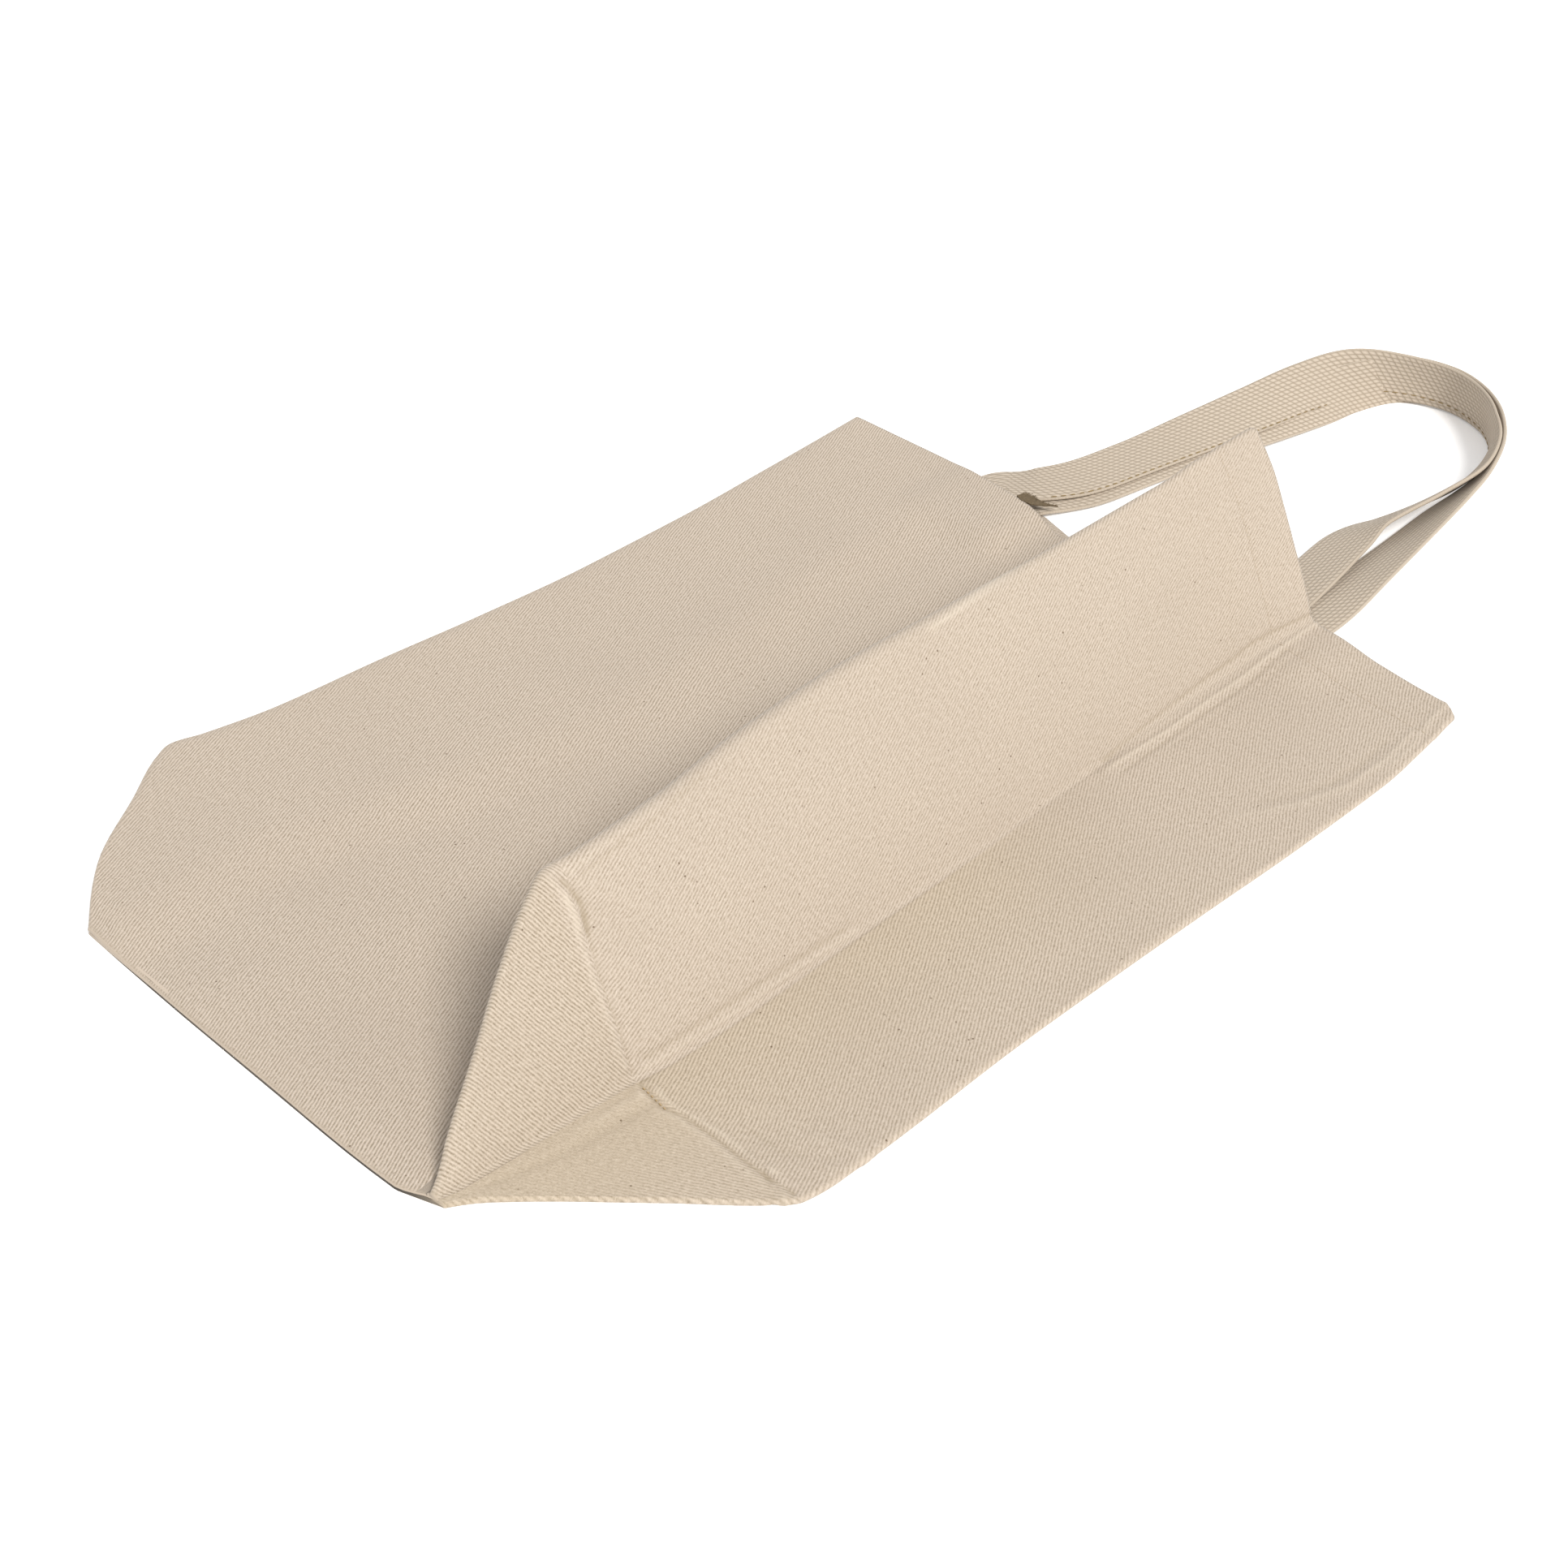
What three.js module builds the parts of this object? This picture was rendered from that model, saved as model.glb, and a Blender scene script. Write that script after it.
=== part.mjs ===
// Cloth tote bag with a boxed bottom, lying on its back with one side gusset folded in and the other
// drawn up as a leaning fin, and two webbing handles laid out in one loop beyond the mouth.
// Millimetres, +Z up. Bag coordinates: x runs across from the far edge to the near edge,
// y runs from the bottom of the panels (0) up to the mouth (bagHeight), z is the height over the table.

import * as THREE from 'three';

// Driving sizes
const bagHeight = 400;          // panel height, bottom corner to mouth
const gussetDepth = 170;        // depth of the boxed bottom and of the side gussets
const clothThickness = 1.1;
const layerGap = 0.5;           // air between two layers lying on each other
const webbingWidth = 25.5;
const webbingThickness = 1.8;
const fitGap = 0.42;            // air between a handle end and the cloth it is sewn to
const handleEndDepth = 27;      // length of a handle end inside the mouth

// Place of the bag coordinates' origin in the part's own frame
const frameCentre = { x: 191.33, y: 268.42 };

// Levels of the cloth's middle line
const layerPitch = clothThickness + layerGap;
const foldRadius = layerPitch / 2;
const backLevel = clothThickness / 2;
const sheetLevel = backLevel + layerPitch;
const frontOverTuck = backLevel + 3 * layerPitch;
const lowerHandleLevel = clothThickness + fitGap + webbingThickness / 2;
const upperHandleLevel = lowerHandleLevel + webbingThickness + fitGap;
const overOneHandle = lowerHandleLevel + webbingThickness / 2 + fitGap + clothThickness / 2;
const overTwoHandles = upperHandleLevel + webbingThickness / 2 + fitGap + clothThickness / 2;

// Rows of a table as objects with the columns' names.
const table = (columns, rows) => rows.map((row) => (
  Object.fromEntries(columns.map((column, i) => [column, row[i]]))));

// The bag's cross-section at heights along it, from the bottom fold to the mouth.
// farEdge, nearEdge: the two outer creases. farTuck: how far in the far gusset's seam lies.
// hinge: where the front sheet turns up into the fin. nearSeam: foot of the fin.
// reach, roll, belly: the fin's length, the radius of its ridge and the bow of its left sheet.
const bottomFold = -gussetDepth / 2;
const finLean = 61;             // the fin's angle to the table
const sectionColumns = [
  'y', 'farEdge', 'farTuck', 'hinge', 'nearSeam', 'nearEdge', 'reach', 'roll', 'belly',
];
const sections = table(sectionColumns, [
  [bottomFold, 80, 86, 280, 284, 289, 5, 0.9, 0],
  [-76, 67, 83, 280, 284, 296, 12, 1, 0],
  [-58, 49, 80, 278, 284, 313, 28, 1.2, 1],
  [-30, 29, 79, 275, 285, 341, 56, 1.5, 2],
  [-8, 13, 80, 272, 286, 362, 74, 2, 3],
  [2, 8, 82, 271, 287, 369, 79.5, 2.5, 4],
  [16, 12, 88, 270, 289, 371, 81.5, 3.4, 5],
  [50, 18, 96, 269, 290, 372, 84.5, 4.5, 6],
  [100, 21, 106, 269, 289.5, 371.5, 89.5, 5, 7],
  [150, 26, 112, 269, 289, 370.5, 91.5, 5, 8],
  [210, 28, 107, 269, 288, 370, 90, 4, 9],
  [270, 26, 99, 270, 286.5, 372.5, 88.5, 3, 9],
  [330, 23, 97, 273, 285, 374.5, 88.5, 2, 9],
  [370, 22, 94, 280, 287, 373, 88.5, 1.8, 10],
  [bagHeight, 22, 90, 281.5, 289, 370, 89, 1.8, 11],
]);

// The mouth edge isn't straight: how far each stretch of it lies beyond bagHeight.
const shiftRows = (rows) => table(['at', 'shift'], rows);
const mouthShift = {
  back: shiftRows([[0, -9], [0.3, -3], [1, -1]]),
  tuck: shiftRows([[0, -1]]),
  front: shiftRows([[0, -1], [0.3, -2], [0.42, -5], [0.56, -12], [0.7, -13], [1, 0]]),
  leftSheet: shiftRows([[0, 0], [1, 4]]),
  fin: shiftRows([[0, 4], [0.06, 9], [0.25, 11], [0.7, 9], [1, 4]]),
  lower: shiftRows([[0, 4], [0.3, -1], [1, -9]]),
  nearFold: shiftRows([[0, -9]]),
};

// Handles, each as its middle line from the far end to the near end. lean turns the webbing from
// flat on the table (0) to standing on its lower edge (90), its upper edge on the loop's outer side.
const handleColumns = ['x', 'y', 'z', 'lean'];
const upperHandle = table(handleColumns, [
  [115.5, bagHeight - handleEndDepth, upperHandleLevel, 0],
  [116.5, 398, upperHandleLevel, 0],
  [120.5, 402.5, 4.75, 0],
  [129.5, 410.5, 5.9, 6],
  [139, 427, 6.8, 9],
  [146, 460, 7.2, 10],
  [155, 497, 10.2, 19],
  [165, 533, 13.3, 31],
  [173.5, 562, 15.6, 44],
  [182.5, 588, 16.3, 66],
  [199, 608.5, 15, 90],
  [222, 616.5, 14.2, 98],
  [244, 609, 13.8, 100],
  [260, 591.5, 13.8, 96],
  [269, 571, 13.2, 76],
  [273.5, 548, 11.4, 54],
  [269, 521, 9.6, 36],
  [265.5, 496, 8.4, 26],
  [266, 464, 6.6, 16],
  [268.5, 432, 5.6, 8],
  [270, 403, 4.75, 0],
  [270.5, bagHeight - handleEndDepth, upperHandleLevel, 0],
]);
const lowerHandle = table(handleColumns, [
  [128, bagHeight - handleEndDepth, lowerHandleLevel, 0],
  [132, 397, lowerHandleLevel, 0],
  [134.5, 401, 2.55, 0],
  [141, 411, 2.8, 5],
  [147, 424.5, 3.2, 9],
  [153, 458.5, 3.5, 10],
  [161, 496, 5.4, 19],
  [169.5, 532.5, 7.9, 31],
  [175.7, 562, 9.8, 44],
  [181.7, 588.5, 12.3, 66],
  [197.5, 611, 13.4, 90],
  [222, 619.8, 13.4, 98],
  [246.5, 611.5, 13.4, 99],
  [264.5, 593.5, 13.2, 88],
  [274.5, 571.5, 12.2, 66],
  [279.5, 547, 10.6, 50],
  [281.5, 520, 9.4, 40],
  [283.5, 488, 7.6, 30],
  [286, 450, 5, 16],
  [288, 418, 3.1, 3],
  [287.5, 403, 2.5, 0],
  [287.5, bagHeight - handleEndDepth, lowerHandleLevel, 0],
]);

// Value of one column at a place in a table, on a smooth curve that keeps every rise and fall of the rows.
function through(rows, placeKey, valueKey, place) {
  const last = rows.length - 1;
  if (place <= rows[0][placeKey]) {
    return rows[0][valueKey];
  }
  if (place >= rows[last][placeKey]) {
    return rows[last][valueKey];
  }
  const rise = (i) => rows[i + 1][valueKey] - rows[i][valueKey];
  const step = (i) => rows[i + 1][placeKey] - rows[i][placeKey];
  const slope = (i) => rise(i) / step(i);
  const tangent = (i) => {
    if (i === 0 || i === last) {
      return slope(Math.min(i, last - 1));
    }
    const before = slope(i - 1);
    const after = slope(i);
    return before * after <= 0 ? 0 : 2 * before * after / (before + after);
  };
  const i = rows.findIndex((row) => row[placeKey] > place) - 1;
  const span = step(i);
  const t = (place - rows[i][placeKey]) / span;
  const startShare = (1 + 2 * t) * (1 - t) ** 2;
  const endShare = t * t * (3 - 2 * t);
  return startShare * rows[i][valueKey] + endShare * rows[i + 1][valueKey]
    + span * t * (1 - t) * ((1 - t) * tangent(i) - t * tangent(i + 1));
}

const ease = THREE.MathUtils.smoothstep;
const radians = THREE.MathUtils.degToRad;

// The front sheet's height: over the tucked gusset, then down on the back sheet, and over the handle ends.
const handleRise = (y) => ease(y, bagHeight - 55, bagHeight - handleEndDepth - 5);
const tuckSlope = 22;
function frontLevel(x, y, farTuck) {
  const overTuck = 1 - ease(x, farTuck + 1, farTuck + tuckSlope);
  const resting = sheetLevel + overTuck * (frontOverTuck - sheetLevel);
  const overFarEnds = ease(x, 84, 100) * (1 - ease(x, 138, 160));
  const overNearEnds = ease(x, 236, 254);
  const overHandles = handleRise(y) * Math.max(overFarEnds, overNearEnds);
  return resting + overHandles * (overTwoHandles - resting);
}

// The lower half gusset's height: on the back sheet, and over the back handle's near end.
function lowerLevel(x, y) {
  return sheetLevel + handleRise(y) * (1 - ease(x, 303, 328)) * (overOneHandle - sheetLevel);
}

// Points of an arc, both ends included, angles in degrees from +x towards +z.
function arc(centre, radius, start, end, steps) {
  return Array.from({ length: steps + 1 }, (_, i) => {
    const angle = radians(start + (end - start) * i / steps);
    return { x: centre.x + radius * Math.cos(angle), z: centre.z + radius * Math.sin(angle) };
  });
}

// Points inside a run between two places, neither end included.
function run(from, to, steps, place) {
  return Array.from({ length: steps - 1 }, (_, i) => {
    const share = (i + 1) / steps;
    return place(from + (to - from) * share, share);
  });
}

// The cloth's middle line round the bag at height y: a closed loop with the bag's inside on its right.
function sectionLoop(y) {
  const at = (column) => through(sections, 'y', column, y);
  const [farEdge, farTuck, hinge] = ['farEdge', 'farTuck', 'hinge'].map(at);
  const [nearSeam, nearEdge] = ['nearSeam', 'nearEdge'].map(at);
  const [reach, roll, belly] = ['reach', 'roll', 'belly'].map(at);
  const mouthward = ease(y, bagHeight - 110, bagHeight);
  const shifted = (points, rows) => points.map((point, i) => ({
    ...point,
    y: y + mouthward * through(rows, 'at', 'shift', points.length > 1 ? i / (points.length - 1) : 0),
  }));

  const height = (level) => backLevel + level * foldRadius;
  const fold = (x, level, start, end) => arc({ x, z: height(level) }, foldRadius, start, end, 4);
  const flat = (level) => (x) => ({ x, z: height(level) });
  const left = farEdge + foldRadius;
  const back = run(nearEdge - foldRadius, left, 7, flat(0));
  const tuck = [
    ...fold(left, 1, 270, 90),
    ...run(left, farTuck - foldRadius, 4, flat(2)),
    ...fold(farTuck - foldRadius, 3, -90, 90),
    ...run(farTuck - foldRadius, left, 4, flat(4)),
    ...fold(left, 5, 270, 90),
  ];

  const onFront = (x) => ({ x, z: frontLevel(x, y, farTuck) });
  const hingeRadius = Math.min(4, Math.max(1, 0.2 * reach));
  const beforeHinge = hinge - hingeRadius;
  const stepStart = farTuck - 2;
  const stepEnd = farTuck + tuckSlope + 3;
  const nearStart = hinge - 46;
  const front = [
    ...run(left, stepStart, 3, onFront), onFront(stepStart),
    ...run(stepStart, stepEnd, 5, onFront), onFront(stepEnd),
    ...run(stepEnd, nearStart, 7, onFront), onFront(nearStart),
    ...run(nearStart, beforeHinge, 5, onFront),
  ];

  const along = { x: -Math.cos(radians(finLean)), z: Math.sin(radians(finLean)) };
  const side = { x: along.z, z: -along.x };
  const seam = { x: nearSeam, z: lowerLevel(nearSeam, y) };
  const onFin = (up, out) => ({
    x: seam.x + up * along.x + out * side.x,
    z: seam.z + up * along.z + out * side.z,
  });
  const ridge = onFin(reach - roll, -roll);
  const ridgeLeft = onFin(reach - roll, -2 * roll);
  const bowAngle = THREE.MathUtils.radToDeg(Math.atan2(Math.PI * belly, reach));
  const hingeCentre = { x: beforeHinge, z: frontLevel(beforeHinge, y, farTuck) + hingeRadius };
  const hingeArc = arc(hingeCentre, hingeRadius, -90, 90 - finLean + bowAngle, 5);
  const hingeEnd = hingeArc[hingeArc.length - 1];
  const leftSheet = run(0, 1, 8, (share) => {
    const bow = belly * Math.sin(Math.PI * share);
    return {
      x: THREE.MathUtils.lerp(hingeEnd.x, ridgeLeft.x, share) - bow * side.x,
      z: THREE.MathUtils.lerp(hingeEnd.z, ridgeLeft.z, share) - bow * side.z,
    };
  });
  const ridgeArc = arc(ridge, roll, 270 - finLean - bowAngle, 90 - finLean, 6);

  const seamRadius = Math.min(3, 0.3 * reach);
  const tangent = seamRadius * Math.tan(radians(finLean / 2));
  const rightSheet = run(reach - roll, tangent, 7, (up) => onFin(up, 0));
  const seamStart = onFin(tangent, 0);
  const seamCentre = { x: seamStart.x + seamRadius * side.x, z: seamStart.z + seamRadius * side.z };
  const seamArc = arc(seamCentre, seamRadius, 270 - finLean, 270, 3);
  const lower = run(seamCentre.x, nearEdge - foldRadius, 6, (x) => ({ x, z: lowerLevel(x, y) }));
  const nearFold = fold(nearEdge - foldRadius, 1, 90, -90);

  return [
    ...shifted(back, mouthShift.back),
    ...shifted(tuck, mouthShift.tuck),
    ...shifted(front, mouthShift.front),
    ...shifted([...hingeArc, ...leftSheet], mouthShift.leftSheet),
    ...shifted([...ridgeArc, ...rightSheet, ...seamArc], mouthShift.fin),
    ...shifted(lower, mouthShift.lower),
    ...shifted(nearFold, mouthShift.nearFold),
  ];
}

// The loop moved out of the bag (positive) or into it by a distance, square to the middle line.
function offsetLoop(loop, distance) {
  return loop.map((point, i) => {
    const before = loop[(i + loop.length - 1) % loop.length];
    const after = loop[(i + 1) % loop.length];
    const inward = new THREE.Vector2(point.x - before.x, point.z - before.z).normalize();
    const outward = new THREE.Vector2(after.x - point.x, after.z - point.z).normalize();
    const heading = inward.clone().add(outward).normalize();
    const reach = distance / Math.max(0.5, heading.dot(inward));
    return { x: point.x - reach * heading.y, y: point.y, z: point.z + reach * heading.x };
  });
}

// A closed mesh from rings of points, each ring joined to the next, with given faces at its ends.
function geometryOf(points, triangles) {
  const geometry = new THREE.BufferGeometry();
  const place = (p) => [p.x - frameCentre.x, p.y - frameCentre.y, p.z];
  geometry.setAttribute('position', new THREE.Float32BufferAttribute(points.flatMap(place), 3));
  geometry.setIndex(triangles.flat());
  geometry.computeVertexNormals();
  return geometry;
}

function skin(rings, first, flipped) {
  const count = rings[0].length;
  const triangles = [];
  for (let r = 0; r < rings.length - 1; r += 1) {
    for (let i = 0; i < count; i += 1) {
      const a = first + r * count + i;
      const b = first + r * count + (i + 1) % count;
      const quad = [[a, b, b + count], [a, b + count, a + count]];
      triangles.push(...quad);
    }
  }
  return flipped ? triangles.map(([a, b, c]) => [a, c, b]) : triangles;
}

// Body cloth: outer and inner skins of the loop swept up the bag, closed by the bottom fold
// and the mouth's rim.
function bodyCloth() {
  const heights = [
    bottomFold, -76, -64, -48, -32, -18, -8, -2, 4, 12, 24, 42, 65, 95, 130, 170, 215, 260, 300, 330,
    bagHeight - 55, bagHeight - 43, bagHeight - 33, bagHeight - 18, bagHeight - 7, bagHeight,
  ];
  const loops = heights.map(sectionLoop);
  const half = clothThickness / 2;
  const outer = loops.map((loop) => offsetLoop(loop, half));
  const inner = loops.map((loop) => offsetLoop(loop, -half));
  outer.unshift(offsetLoop(loops[0], 0.4 * half).map((p) => ({ ...p, y: p.y - half })));
  inner[0] = inner[0].map((p) => ({ ...p, y: p.y + half }));
  const count = loops[0].length;
  const innerStart = outer.length * count;
  const outerLast = innerStart - count;
  const innerLast = innerStart + (inner.length - 1) * count;
  const rim = skin([outer[0], outer[0]], 0, false).map((triangle) => triangle.map((i) => (
    i < count ? outerLast + i : innerLast + i - count)));
  const flatLoop = (ring) => ring.map((p) => new THREE.Vector2(p.x, p.z));
  const cap = (ring, start) => THREE.ShapeUtils.triangulateShape(flatLoop(ring), [])
    .map((triangle) => triangle.map((i) => start + i));
  const turn = ([a, b, c]) => [a, c, b];
  return geometryOf([...outer.flat(), ...inner.flat()], [
    ...skin(outer, 0, false),
    ...skin(inner, innerStart, true),
    ...rim,
    ...cap(outer[0], 0),
    ...cap(inner[0], innerStart).map(turn),
  ]);
}

// Webbing swept along its middle line, with soft selvedges.
function webbing(rows) {
  const places = rows.map((row) => new THREE.Vector3(row.x, row.y, row.z));
  const curve = new THREE.CatmullRomCurve3(places, false, 'centripetal');
  const leans = rows.map((row, i) => ({ place: i, lean: row.lean }));
  const ringsPerRow = 4;
  const ringCount = (rows.length - 1) * ringsPerRow;
  const halfWidth = webbingWidth / 2;
  const halfThickness = webbingThickness / 2;
  const selvedge = 0.6;
  const outline = [
    [-halfWidth, 0], [-halfWidth + selvedge, -halfThickness], [halfWidth - selvedge, -halfThickness],
    [halfWidth, 0], [halfWidth - selvedge, halfThickness], [-halfWidth + selvedge, halfThickness],
  ];
  const rings = Array.from({ length: ringCount + 1 }, (_, r) => {
    const share = r / ringCount;
    const middle = curve.getPoint(share);
    const forward = curve.getTangent(share);
    const outside = new THREE.Vector3(-forward.y, forward.x, 0).normalize();
    const lean = radians(through(leans, 'place', 'lean', share * (rows.length - 1)));
    const across = outside.multiplyScalar(Math.cos(lean)).add(new THREE.Vector3(0, 0, Math.sin(lean)));
    across.addScaledVector(forward, -across.dot(forward)).normalize();
    const face = new THREE.Vector3().crossVectors(forward, across);
    return outline.map(([u, v]) => middle.clone().addScaledVector(across, u).addScaledVector(face, v));
  });
  const lastRing = ringCount * outline.length;
  const cap = (start, flipped) => [1, 2, 3, 4].map((i) => (
    flipped ? [start, start + i, start + i + 1] : [start, start + i + 1, start + i]));
  return geometryOf(rings.flat(), [...skin(rings, 0, false), ...cap(0, false), ...cap(lastRing, true)]);
}

const bag = new THREE.Group();
function addPiece(name, geometry, color, roughness) {
  const material = new THREE.MeshStandardMaterial({ color, roughness, metalness: 0 });
  const mesh = new THREE.Mesh(geometry, material);
  mesh.name = name;
  bag.add(mesh);
}

addPiece('body_cloth', bodyCloth(), 0xd9ccb2, 0.95);
addPiece('front_handle', webbing(upperHandle), 0xd6c8ad, 0.9);
addPiece('back_handle', webbing(lowerHandle), 0xd6c8ad, 0.9);

export default bag;
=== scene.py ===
import math
import bpy
import numpy as np
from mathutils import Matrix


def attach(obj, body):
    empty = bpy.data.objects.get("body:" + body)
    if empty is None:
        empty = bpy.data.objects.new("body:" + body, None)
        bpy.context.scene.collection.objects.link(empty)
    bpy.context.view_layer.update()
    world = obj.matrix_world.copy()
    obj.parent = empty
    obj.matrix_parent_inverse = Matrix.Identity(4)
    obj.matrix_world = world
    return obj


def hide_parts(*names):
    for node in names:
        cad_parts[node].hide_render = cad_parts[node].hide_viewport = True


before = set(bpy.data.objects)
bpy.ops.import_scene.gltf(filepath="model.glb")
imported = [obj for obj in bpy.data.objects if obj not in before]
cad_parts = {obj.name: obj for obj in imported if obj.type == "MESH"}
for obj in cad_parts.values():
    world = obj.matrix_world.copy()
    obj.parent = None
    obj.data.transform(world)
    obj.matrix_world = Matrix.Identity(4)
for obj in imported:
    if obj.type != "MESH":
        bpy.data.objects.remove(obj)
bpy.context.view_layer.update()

# Camera that took the photograph, in bag millimetres: x across, y from bottom to mouth, z up
bagOrigin = np.array([191.33, 268.42, 0.0])
camera = {
    "place": (766.5, -417.0, 603.6),
    "azimuth": -44.255,
    "elevation": 36.754,
    "lens": 57.67,
    "sensor": 36,
    "clip": (0.05, 60),
}


def toMetres(points):
    return (np.asarray(points, float) - bagOrigin) / 1000


def placed(name, data):
    obj = bpy.data.objects.new(name, data)
    bpy.context.scene.collection.objects.link(obj)
    return obj


def makeCamera():
    data = bpy.data.cameras.new("camera")
    data.lens = camera["lens"]
    data.sensor_width = camera["sensor"]
    data.sensor_fit = "HORIZONTAL"
    data.clip_start, data.clip_end = camera["clip"]
    data.dof.use_dof = False
    obj = placed("camera", data)
    obj.location = toMetres(camera["place"])
    obj.rotation_euler = (
        math.radians(90 - camera["elevation"]), 0, math.radians(-camera["azimuth"]))
    bpy.context.scene.camera = obj


makeCamera()
print("camera ready")

# Sizes of the cloth, the same as the solids
bag = {
    "height": 400,
    "gusset": 170,
    "thickness": 1.1,
    "layerGap": 0.5,
    "finLean": 61,
    "hemWidth": 25,
    "tuckSlope": 38,
}
webbing = {
    "width": 25.5,
    "thickness": 1.8,
    "fitGap": 0.42,
    "endDepth": 27,
    # As seen: the straps press on one another
    "plump": 2.05,
    # Rounded selvedges: distance in from the edge, share of the thickness
    "edge": [(0.75, 0.86), (0.2, 0.5), (0, 0)],
    "flatInset": 1.6,
    "flatPoints": 9,
    "ringsPerRow": 14,
    "unevenWidth": 0.006,
}

layerPitch = bag["thickness"] + bag["layerGap"]
foldRadius = layerPitch / 2
backLevel = bag["thickness"] / 2
sheetLevel = backLevel + layerPitch
frontOverTuck = backLevel + 3 * layerPitch
lowerHandleLevel = bag["thickness"] + webbing["fitGap"] + webbing["thickness"] / 2
upperHandleLevel = lowerHandleLevel + webbing["thickness"] + webbing["fitGap"]
overOneHandle = lowerHandleLevel + webbing["thickness"] / 2 + webbing["fitGap"] + backLevel
overTwoHandles = upperHandleLevel + webbing["thickness"] / 2 + webbing["fitGap"] + backLevel
bottomFold = -bag["gusset"] / 2
mouth = bag["height"]


def table(columns, rows):
    return [dict(zip(columns, row)) for row in rows]


# The bag across, at heights up from the bottom fold: its far edge and the depth of the tuck there, the
# hinge and the near seam at the fin's foot, its near edge, and the fin's reach, ridge roll and belly
sectionColumns = ["y", "farEdge", "farTuck", "hinge", "nearSeam", "nearEdge", "reach", "roll", "belly"]
sections = table(sectionColumns, [
    [bottomFold, 83, 88, 278.2, 281.7, 285, 3.6, 0.75, 0],
    [-76, 71, 84, 279, 283, 290.8, 11.5, 1, 0],
    [-58, 51, 80, 278, 284, 306.5, 28, 1.2, 1],
    [-30, 30.5, 79, 275, 285, 335.5, 56.5, 1.5, 2],
    [-8, 14, 80, 272, 286, 359.5, 75.5, 2, 3],
    [2, 9.8, 82, 271, 287, 367.5, 81.5, 2.5, 4],
    [16, 13.6, 88, 270, 289, 369.5, 82.5, 3.4, 5],
    [50, 19.5, 96, 269, 290, 370, 84.5, 4.5, 6],
    [100, 22.4, 106, 269, 289.5, 369.5, 89.5, 5, 7],
    [150, 26.5, 112, 269, 289, 370.5, 91.5, 5, 8],
    [210, 29.5, 107, 269, 288, 372.5, 89.5, 4, 9],
    [270, 29, 99, 270, 286.5, 375, 87.5, 3, 9],
    [330, 26, 97, 273, 285, 376, 86.5, 2, 9],
    [370, 23.6, 94, 280, 287, 373.5, 87.5, 1.8, 10],
    [mouth, 21.6, 90, 281.5, 289, 371, 89, 1.8, 11],
])

# The bottom fold bows out under the front and is drawn in at the foot of the fin: x, shift in y
bottomBow = [
    [83, 0], [110, -1], [150, -2], [200, -2.6], [240, -3.2], [266, -2.6], [283, 3.2], [300, 2],
    [369, 2.6]]
bottomBowTop = -38
# Near the bottom fold the layers press together: share of their height lost there, and where it starts
bottomPress = {"share": 0.42, "top": -70}

# Where each sheet ends at the mouth: share of the way along the sheet, shift in y
mouthShiftDepth = 110
mouthShift = {
    "back": [[0, -8], [0.3, -3], [1, -1]],
    "tuck": [[0, -1], [1, -1]],
    "fold": [[0, -1], [1, -1]],
    "front": [
        [0, -1], [0.22, -2], [0.33, -4.9], [0.42, -8.2], [0.5, -11.8], [0.57, -15.8], [0.7, -15],
        [1, 0]],
    "left": [[0, 0], [1, 4]],
    "fin": [[0, 3], [0.06, 7], [0.25, 8.5], [0.7, 6.5], [1, 3]],
    "lower": [[0, 3], [0.3, -0.5], [1, -8]],
    "near": [[0, -8], [1, -8]],
}

# The inner sheets' mouths dip behind the front's between the handle ends: x, shift in y
innerMouth = [[0, 0], [136, 0], [150, -4.5], [166, -10], [190, -12], [235, -10], [262, -1], [400, 0]]
# The near corner of the mouth is rounded
mouthCorner = {"drop": 6, "depth": 26, "start": 361, "width": 11, "power": 2.2}

# The handles' middle lines and how far they lean over, from the far ends round the bend to the near ones
handleColumns = ["x", "y", "z", "lean"]
rootY = mouth - webbing["endDepth"]
upperHandle = table(handleColumns, [
    [115.5, rootY, upperHandleLevel, 0],
    [116.5, 398, upperHandleLevel, 0],
    [120.5, 402.5, 4.75, 0],
    [129.5, 410.5, 5.9, 6],
    [139.6, 427, 6.6, 9],
    [147, 459.4, 7, 10],
    [156.2, 496.2, 10, 19],
    [165.4, 532.8, 13.1, 31],
    [172.8, 563, 15.6, 46],
    [181.8, 589.4, 16.1, 68],
    [200, 607.4, 14.4, 90],
    [223.8, 614.4, 13.5, 97],
    [245.8, 607.4, 13.3, 99],
    [262.4, 591.4, 13.2, 94],
    [272.2, 571, 12.8, 70],
    [276, 548, 11.4, 52],
    [272.1, 520.8, 9.6, 44],
    [267.2, 495.2, 8.9, 37],
    [263.6, 480.8, 7.7, 27],
    [263.9, 465.6, 6.6, 15],
    [268, 432, 5.6, 8],
    [270, 403, 4.75, 0],
    [270.5, rootY, upperHandleLevel, 0],
])
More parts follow.
